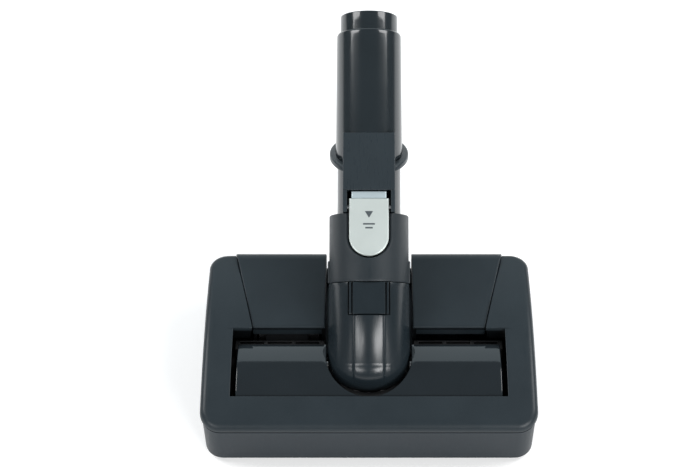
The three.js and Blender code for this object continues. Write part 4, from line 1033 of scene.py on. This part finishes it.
def panel_top(x, s):
    """A wedge: 29.1 at the lever, falling to 26.5 at its upper end, where it runs into the tube."""
    return 29.1 - 2.6 * np.clip((s - 134.8) / 45.7, 0, 1) + 0 * x


PANEL_HALF = 20.35
CHEEK_HALF = 17.05
latch = all_of(
    soft_plate((-PANEL_HALF, PANEL_HALF), (134.9, 180.4), panel_top, on_tube, 0.6, counts=(26, 26)),
    *[soft_plate((min(a, b), max(a, b)), (117.9, 134.9), panel_top, on_tube, 0.5, counts=(5, 8))
      for a, b in ((-PANEL_HALF, -CHEEK_HALF), (CHEEK_HALF, PANEL_HALF))],
)
holder = ("wand_holder", ["latch_housing"], "charcoal_plastic", NECK_SHARP)
make("latch_panel", moved(latch, place_neck), charcoal_latch, *holder)

# %% [markdown]
# The lock lever is the one bright piece: a tongue with a half-round lower end and a bevelled thumb edge
# at the top. Its rows follow the half round, and the height drops with the true distance from the
# outline, so the rounded edge is even all the way round. A small arrow and two bars are its only mark.

# %% Lock lever
LEVER_HALF = 15.4
LEVER_END = 83.2
LEVER_TOP = 29.6


def lever_height(x, s):
    """Top of the tongue: 29.6 less a shallow dome, less the rounded edge near the outline."""
    below = np.hypot(x, s - (LEVER_END + LEVER_HALF))
    inside = LEVER_HALF - np.where(s < LEVER_END + LEVER_HALF, below, np.abs(x))
    return LEVER_TOP - 0.3 * (x / LEVER_HALF) ** 2 - drop(np.clip(inside, 0, 9), 1.2)


def lever_tongue():
    turn = np.linspace(0.02, np.pi / 2, 26)
    s = LEVER_END + LEVER_HALF * (1 - np.cos(turn))
    half = LEVER_HALF * np.sin(turn)
    straight = np.concatenate([np.linspace(100, 126.5, 14), 128.2 - quarter(0.8, 4)[0][::-1]])
    s = np.concatenate([s, straight])[:, None]
    half = np.concatenate([half, np.full(len(straight), LEVER_HALF)])[:, None]
    x = half * -np.cos(np.linspace(0, np.pi, 41))[None, :]
    top = lever_height(x, s) - drop(128.2 - s, 0.8)
    upper = np.stack([x, s + 0 * x, top], -1)
    lower = upper.copy()
    lower[..., 2] = LEVER_TOP - 2.6
    return plate(upper, lower)


def thumb_top(x, s):
    """A bevel that starts 0.9 under the tongue and falls away to the top edge."""
    return LEVER_TOP - 0.9 - 0.25 * (s - 128.5)


thumb = soft_plate((-13.6, 13.6), (128.5, 134.2), thumb_top, level(26.4), 0.7, counts=(12, 5))
lever = [lever_tongue()]
lever.append(soft_plate((-4, 4), (129.4, 132.6), level(27.5), level(18.6), 0.3, counts=(3, 3)))
for span in ((-13.9, -9), (9, 13.9)):
    lever.append(soft_plate(span, (119.6, 124.4), level(27.3), level(22), 0.4, counts=(3, 3)))
lever = moved(all_of(*lever), place_neck)
make("lever_tongue", lever, silver, "lever", ["lock_lever"], "silver_paint", NECK_SHARP)
make("lever_thumb", moved(thumb, place_neck), silver_edge, "lever", (), "silver_paint", NECK_SHARP)


def printed(half_width, s_span):
    """A thin raised patch on the tongue; its half width is a function of the share from its first edge."""
    share = np.linspace(0, 1, 9)[:, None]
    s = s_span[0] + (s_span[1] - s_span[0]) * share
    x = half_width(share) * np.linspace(-1, 1, 9)[None, :]
    upper = np.stack([x, s + 0 * x, lever_height(x, s) + 0.07], -1)
    return plate(upper, upper - [0, 0, 0.3])


marks = all_of(
    printed(lambda t: 0.05 + 3.1 * t, (113.0, 118.2)),
    printed(lambda t: 4.6 + 0 * t, (107.6, 108.8)),
    printed(lambda t: 2.9 + 0 * t, (104.6, 105.8)),
)
mark_paint = moulded("grey_print", linear(70, 78, 82), 0.5, grain=0.004)
make("lever_marks", moved(marks, place_neck), mark_paint, "lever", (), "silver_paint")

# %% [markdown]
# The brush is a core with four rows of nylon tufts, each row bent into a V so that dirt is swept to the
# middle. A tuft is a dozen thin bristles. One bristle is a three-ring tapered bar, and all of them are
# worked out at once: the row's angle is its start plus 75 degrees times the share of the way to its middle.

# %% Bristles
BRUSH_AXIS = np.array([6.95, 25.5, 19.8])
ROW_HALF = 108.4
CORE, TIP = 11.0, 18.7
rng = np.random.default_rng(7)


def bars(roots, tips, bow, radius, sides=4):
    """Tapered bars from roots to tips; their middle is moved by `bow`. Returns points and faces."""
    count = len(roots)
    spine = np.stack([roots, (roots + tips) / 2 + bow, tips], 1)
    along_bar = tips - roots
    first = np.cross(along_bar, [0.31, 0.87, 0.39])
    first /= np.linalg.norm(first, axis=1, keepdims=True)
    second = np.cross(along_bar, first)
    second /= np.linalg.norm(second, axis=1, keepdims=True)
    angle = np.linspace(0, 2 * np.pi, sides, endpoint=False)
    ring = np.cos(angle)[None, :, None] * first[:, None] + np.sin(angle)[None, :, None] * second[:, None]
    wide = radius * np.array([1.0, 0.9, 0.62])
    points = spine[:, :, None] + ring[:, None] * wide[None, :, None, None]
    index = np.arange(count * 3 * sides).reshape(count, 3, sides)
    wrapped = np.concatenate([index, index[..., :1]], -1)
    low, high = wrapped[:, :-1], wrapped[:, 1:]
    quads = np.stack([low[..., :-1], high[..., :-1], high[..., 1:], low[..., 1:]], -1)
    faces = quads.reshape(-1, 4).tolist() + index[:, 0].tolist() + index[:, -1, ::-1].tolist()
    return points.reshape(-1, 3), faces


def on_brush(x, angle, radius):
    """A point at a place along the brush, an angle round it and a distance from its axis."""
    around = np.stack([0 * x, -np.sin(angle), np.cos(angle)], -1) * np.asarray(radius)[..., None]
    return BRUSH_AXIS + np.stack([x, 0 * x, 0 * x], -1) + around


def bristle_rows(rows=4, tufts=66, per_tuft=13):
    shape = (rows, tufts, per_tuft)
    start = (np.arange(rows) * 2 * np.pi / rows)[:, None, None]
    x = np.linspace(-ROW_HALF + 1, ROW_HALF - 1, tufts)[None, :, None] + rng.normal(0, 0.42, shape)
    x = np.clip(x, -ROW_HALF + 0.3, ROW_HALF - 0.3)
    angle = start + np.radians(75) * (1 - np.abs(x) / ROW_HALF) + rng.uniform(-0.055, 0.055, shape)
    spread = rng.normal(0, 0.3, shape)
    reach = TIP - rng.uniform(0, 0.5, shape)
    roots = on_brush(x, angle, np.full(shape, CORE - 0.5))
    tips = on_brush(np.clip(x + spread, -ROW_HALF, ROW_HALF), angle + rng.normal(0, 0.02, shape), reach)
    bow = rng.normal(0, 0.16, (x.size, 3))
    return bars(roots.reshape(-1, 3), tips.reshape(-1, 3), bow, 0.17)


rows = [f"bristle_row_{n}" for n in (1, 2, 3, 4)]
make("bristle_tufts", moved(bristle_rows(), place), nylon, "brush", rows, "bristle", 50)

# %% [markdown]
# The core, the wheels and the rollers are turned: a closed profile about a line along X. The core is a
# plain bar with rounded ends. A wheel is a plastic hub with a rounded rubber tyre pressed on it, and five
# round pockets in the hub show how it rolls.

# %% Turned pieces


def turned_x(profile, centre, sides=96, start=0.0):
    """A closed profile of (radius, distance) turned about a line along X through `centre`."""
    points, faces = turned(profile, sides, start)
    return points[:, [1, 0, 2]] + centre, faces


def rounded_ring(bore, outer, half, edge, waist=0.0):
    """Profile of a ring: straight bore, rounded shoulders, and a waist turned into its tread."""
    width = np.linspace(-half + edge, half - edge, 15)
    tread = np.column_stack([outer - waist * smooth_step(half * 0.55 - np.abs(width), 1.2), width])
    low = arc_profile((outer - edge, -half + edge), edge, -90, 0)
    high = arc_profile((outer - edge, half - edge), edge, 0, 90)
    return np.concatenate([[(bore, -half), (bore + 0.5, -half)], low, tread[1:-1], high, [(bore, half)]])


core = turned_x(rounded_ring(3.35, CORE, 111.4, 0.8), BRUSH_AXIS, 128)
make("brush_core_bar", moved(core, place), core_plastic, "brush", ["brush_core"], "charcoal_plastic")


def hub(radius, half, centre):
    """A dished disc with five pockets on each face: a plate on a polar grid, from one face to the other."""
    away = [[2.35, 3.4, 3.8, 4.2], np.linspace(4.8, radius - 0.6, 9), [radius - 0.2, radius]]
    away = np.concatenate(away)
    turn = np.linspace(0, 2 * np.pi, 121)
    grid_r, grid_a = np.meshgrid(away, turn, indexing="ij")
    pocket_at = (radius + 4) / 2
    nearest = (grid_a * 5 / (2 * np.pi)) % 1 - 0.5
    gap = np.hypot(grid_r - pocket_at, nearest * 2 * np.pi / 5 * grid_r)
    dish = 0.6 * smooth_step(grid_r - 4, 0.8) * smooth_step(radius - 0.7 - grid_r, 0.8)
    deep = 1.1 * smooth_step((radius - 5.4) / 2 - gap, 0.5)
    face = half - dish - deep
    flat = [grid_r * np.sin(grid_a), grid_r * np.cos(grid_a)]
    upper = np.stack([face, *flat], -1) + centre
    lower = np.stack([-face, *flat], -1) + centre
    return plate(upper, lower, welded=(np.ones(len(away), bool), np.ones(len(away), bool)))


rolling = [
    ("wheel", 108.0, 138.0, 15.0, 7.0, "rear_wheel", 9.6),
    ("roller", 70.0, 69.0, 9.5, 5.0, "front_roller", 6.4),
]
for kind, x, y, radius, half, body, hub_radius in rolling:
    for side, hand in ((-1, "left"), (1, "right")):
        centre = np.array([side * x, y, radius])
        tyre = turned_x(rounded_ring(hub_radius, radius, half, 1.6, 0.25), centre)
        disc = hub(hub_radius - 0.02, half - 0.7, centre)
        name = f"{kind}_{hand}"
        make(f"{name}_tyre", moved(tyre, place), tyre_rubber, f"{body}_{hand}", [name], "black_rubber")
        make(f"{name}_hub", moved(disc, place), core_plastic, f"{body}_{hand}", (), "black_rubber")

# %% [markdown]
# A lint strip is plush on a thin backing: thousands of short fibres that all lean one way, so lint is
# picked up on the pull stroke. Its fibres are the same tapered bars, on a jittered grid, pointing down.

# %% Lint strips


def plush_strip(side):
    x, y = np.meshgrid(np.arange(18.6, 111.6, 0.62), np.arange(51.35, 55.9, 0.5))
    x = (x + rng.uniform(-0.2, 0.2, x.shape)).ravel()
    y = (y + rng.uniform(-0.15, 0.15, y.shape)).ravel()
    top = np.stack([side * x, y, np.full(x.size, 2.5)], -1)
    lean = np.stack([rng.normal(0, 0.12, x.size), rng.uniform(0.15, 0.5, x.size), 0 * x], -1)
    tips = top + lean
    tips[:, 2] = 1.33 + rng.uniform(0, 0.3, x.size)
    fibres = bars(top, tips, 0, 0.15, sides=3)
    low, high = sorted((side * 18.05, side * 111.95))
    return all_of(block((low, high), (51.05, 56.45), (2.3, 2.8), 0.2), fibres)


for side, hand in ((-1, "left"), (1, "right")):
    strip = moved(plush_strip(side), place)
    make(f"lint_plush_{hand}", strip, plush, "head", [f"lint_strip_{hand}"], "lint_fabric", 50)

# %% [markdown]
# Four screws hold the shells together from below. A screw is a shank with a domed head, and its cross
# recess is a drop of the head's own surface: two crossed bars whose depth fades at their walls.

# %% Screws


def screw(x, y):
    edge = 3.6 - 0.4 + 0.4 * np.sin(np.linspace(0.3, np.pi / 2, 5))
    away = np.concatenate([[0.02], np.linspace(0.3, 3.2, 20), edge])
    turn = np.linspace(0, 2 * np.pi, 97)
    grid_r, grid_a = np.meshgrid(away, turn, indexing="ij")
    u, v = grid_r * np.cos(grid_a), grid_r * np.sin(grid_a)
    pairs = ((np.abs(u), np.abs(v)), (np.abs(v), np.abs(u)))
    arm = np.maximum(*[smooth_step(0.5 - a, 0.3) * smooth_step(2.1 - b, 0.5) for a, b in pairs])
    face = 3.72 + 0.03 * grid_r**2 + drop(3.6 - grid_r, 0.4) + 1.0 * arm
    under = plate(
        np.stack([x + u, y + v, face], -1),
        np.stack([x + u, y + v, np.full_like(face, 5.6)], -1),
        welded=(np.ones(len(away), bool), np.ones(len(away), bool)),
    )
    shank = [(0.02, 0), (1.6, 0), (1.6, 19.4), (0.9, 20.0), (0.02, 20.05)]
    points, faces = turned(shank, 32)
    return all_of(under, (points[:, [0, 2, 1]] + [x, y, 5.55], faces))


places = [(-52, 150), (52, 150), (-98, 66), (98, 66)]
screws = all_of(*[screw(x, y) for x, y in places])
names = [f"cover_screw_{n}" for n in (1, 2, 3, 4)]
make("cover_screws", moved(screws, place), steel, "head", names, "steel", 30)

# %% [markdown]
# The flat pieces that are seen from below or through the groove keep the part's shape and get a fine
# rounding on their sharp edges, since no moulded edge is ever a true corner.

# %% Rounded mouldings


def folded(a, b, edge):
    """Weight 1 on an edge whose two faces meet at more than 40 degrees."""
    return float(len(edge.link_faces) == 2 and edge.calc_face_angle(0.0) > math.radians(40))


flat_pieces = {"sole_plate": "sole", "air_inlet_grille": "inlet_grille", "nose_shroud": "nose_tray"}
for node, name in flat_pieces.items():
    softened(node, name, black_plastic, folded, 2, 0.25)

# %% [markdown]
# What is left of the frame is shown as the part has it: ducts, bearings, pins, belt and turbine. Each CAD
# node gets a finish, chosen by the material slot that its record names.

# %% Finishes of the pieces that stay
by_slot = {
    "charcoal_plastic": charcoal,
    "dark_gloss_plastic": tube_gloss,
    "black_plastic": black_plastic,
    "black_rubber": tyre_rubber,
    "lint_fabric": plush,
    "bristle": nylon,
    "silver_paint": silver,
    "steel": steel,
}
slot_of = {part["node"]: part["material_slot"] for part in frame["record"]["subparts"]}
for name, node in frame["nodes"].items():
    if not node.hide_render:
        node.data.materials.clear()
        node.data.materials.append(by_slot[slot_of[name]])
print("kept nodes", sum(not n.hide_render for n in frame["nodes"].values()))

# %% [markdown]
# The floor is a pale sheet that glows a little, like a lit table, so it stays plain and gives the glossy
# tube a pale band low on each side. Two soft boxes left and right of the camera draw the bands on the
# elbow, two more at the sides light the tops evenly, and a low panel far behind lights the arched window.

# %% Floor and light


def stage_plate(name, size, z, colour, glow):
    mesh = bpy.data.meshes.new(name)
    corner = np.array([(-1, -1), (1, -1), (1, 1), (-1, 1)]) * size
    mesh.from_pydata(np.column_stack([corner, np.full(4, z)]).tolist(), [], [(0, 1, 2, 3)])
    finish = Finish(name + "_paint", Roughness=0.9, Specular_IOR_Level=0.1)
    finish.shader.inputs["Emission Color"].default_value = (glow, glow, glow, 1)
    finish.shader.inputs["Emission Strength"].default_value = 1.0
    cloud = finish.noise(240, 2)
    finish.feed(Base_Color=finish.mix(cloud, colour, tuple(min(1.01 * c, 1) for c in colour[:3]) + (1,)))
    mesh.materials.append(finish.material)
    floor = bpy.data.objects.new(name, mesh)
    bpy.context.scene.collection.objects.link(floor)


def soft_box(name, azimuth, height, away, size, power, tint=(1, 1, 1), aim=(0, -0.05, 0.06)):
    """An area light at an azimuth from the front, an elevation and a distance, aimed at the head."""
    side, up = math.radians(azimuth), math.radians(height)
    at = Vector((math.sin(side) * math.cos(up), -math.cos(side) * math.cos(up), math.sin(up))) * away
    light = bpy.data.lights.new(name, "AREA")
    light.shape, light.size, light.size_y, light.energy = "RECTANGLE", size[0], size[1], power
    light.color = tint
    lamp = bpy.data.objects.new(name, light)
    lamp.location = at + Vector(aim)
    lamp.rotation_euler = (-at).to_track_quat("-Z", "Y").to_euler()
    bpy.context.scene.collection.objects.link(lamp)


stage_plate("floor", 12, 0.0, (0.9, 0.9, 0.9, 1), 0.3)
world = bpy.data.worlds.new("studio")
bpy.context.scene.world = world
world.use_nodes = True
world.node_tree.nodes["Background"].inputs["Color"].default_value = (0.9, 0.96, 1, 1)
world.node_tree.nodes["Background"].inputs["Strength"].default_value = 0.14
soft_box("box_front_left", -35, 29, 1.8, (0.9, 0.46), 9)
soft_box("box_front_right", 35, 29, 1.8, (0.9, 0.46), 17)
soft_box("box_side_left", -108, 45, 2.1, (1.0, 1.0), 23)
soft_box("box_side_right", 108, 45, 2.1, (1.0, 1.0), 23)
soft_box("panel_behind", 180, 28, 2.2, (2.8, 1.8), 14, tint=(0.8, 0.94, 1.0))
bpy.context.scene.view_settings.view_transform = "Standard"
print("lights ready")
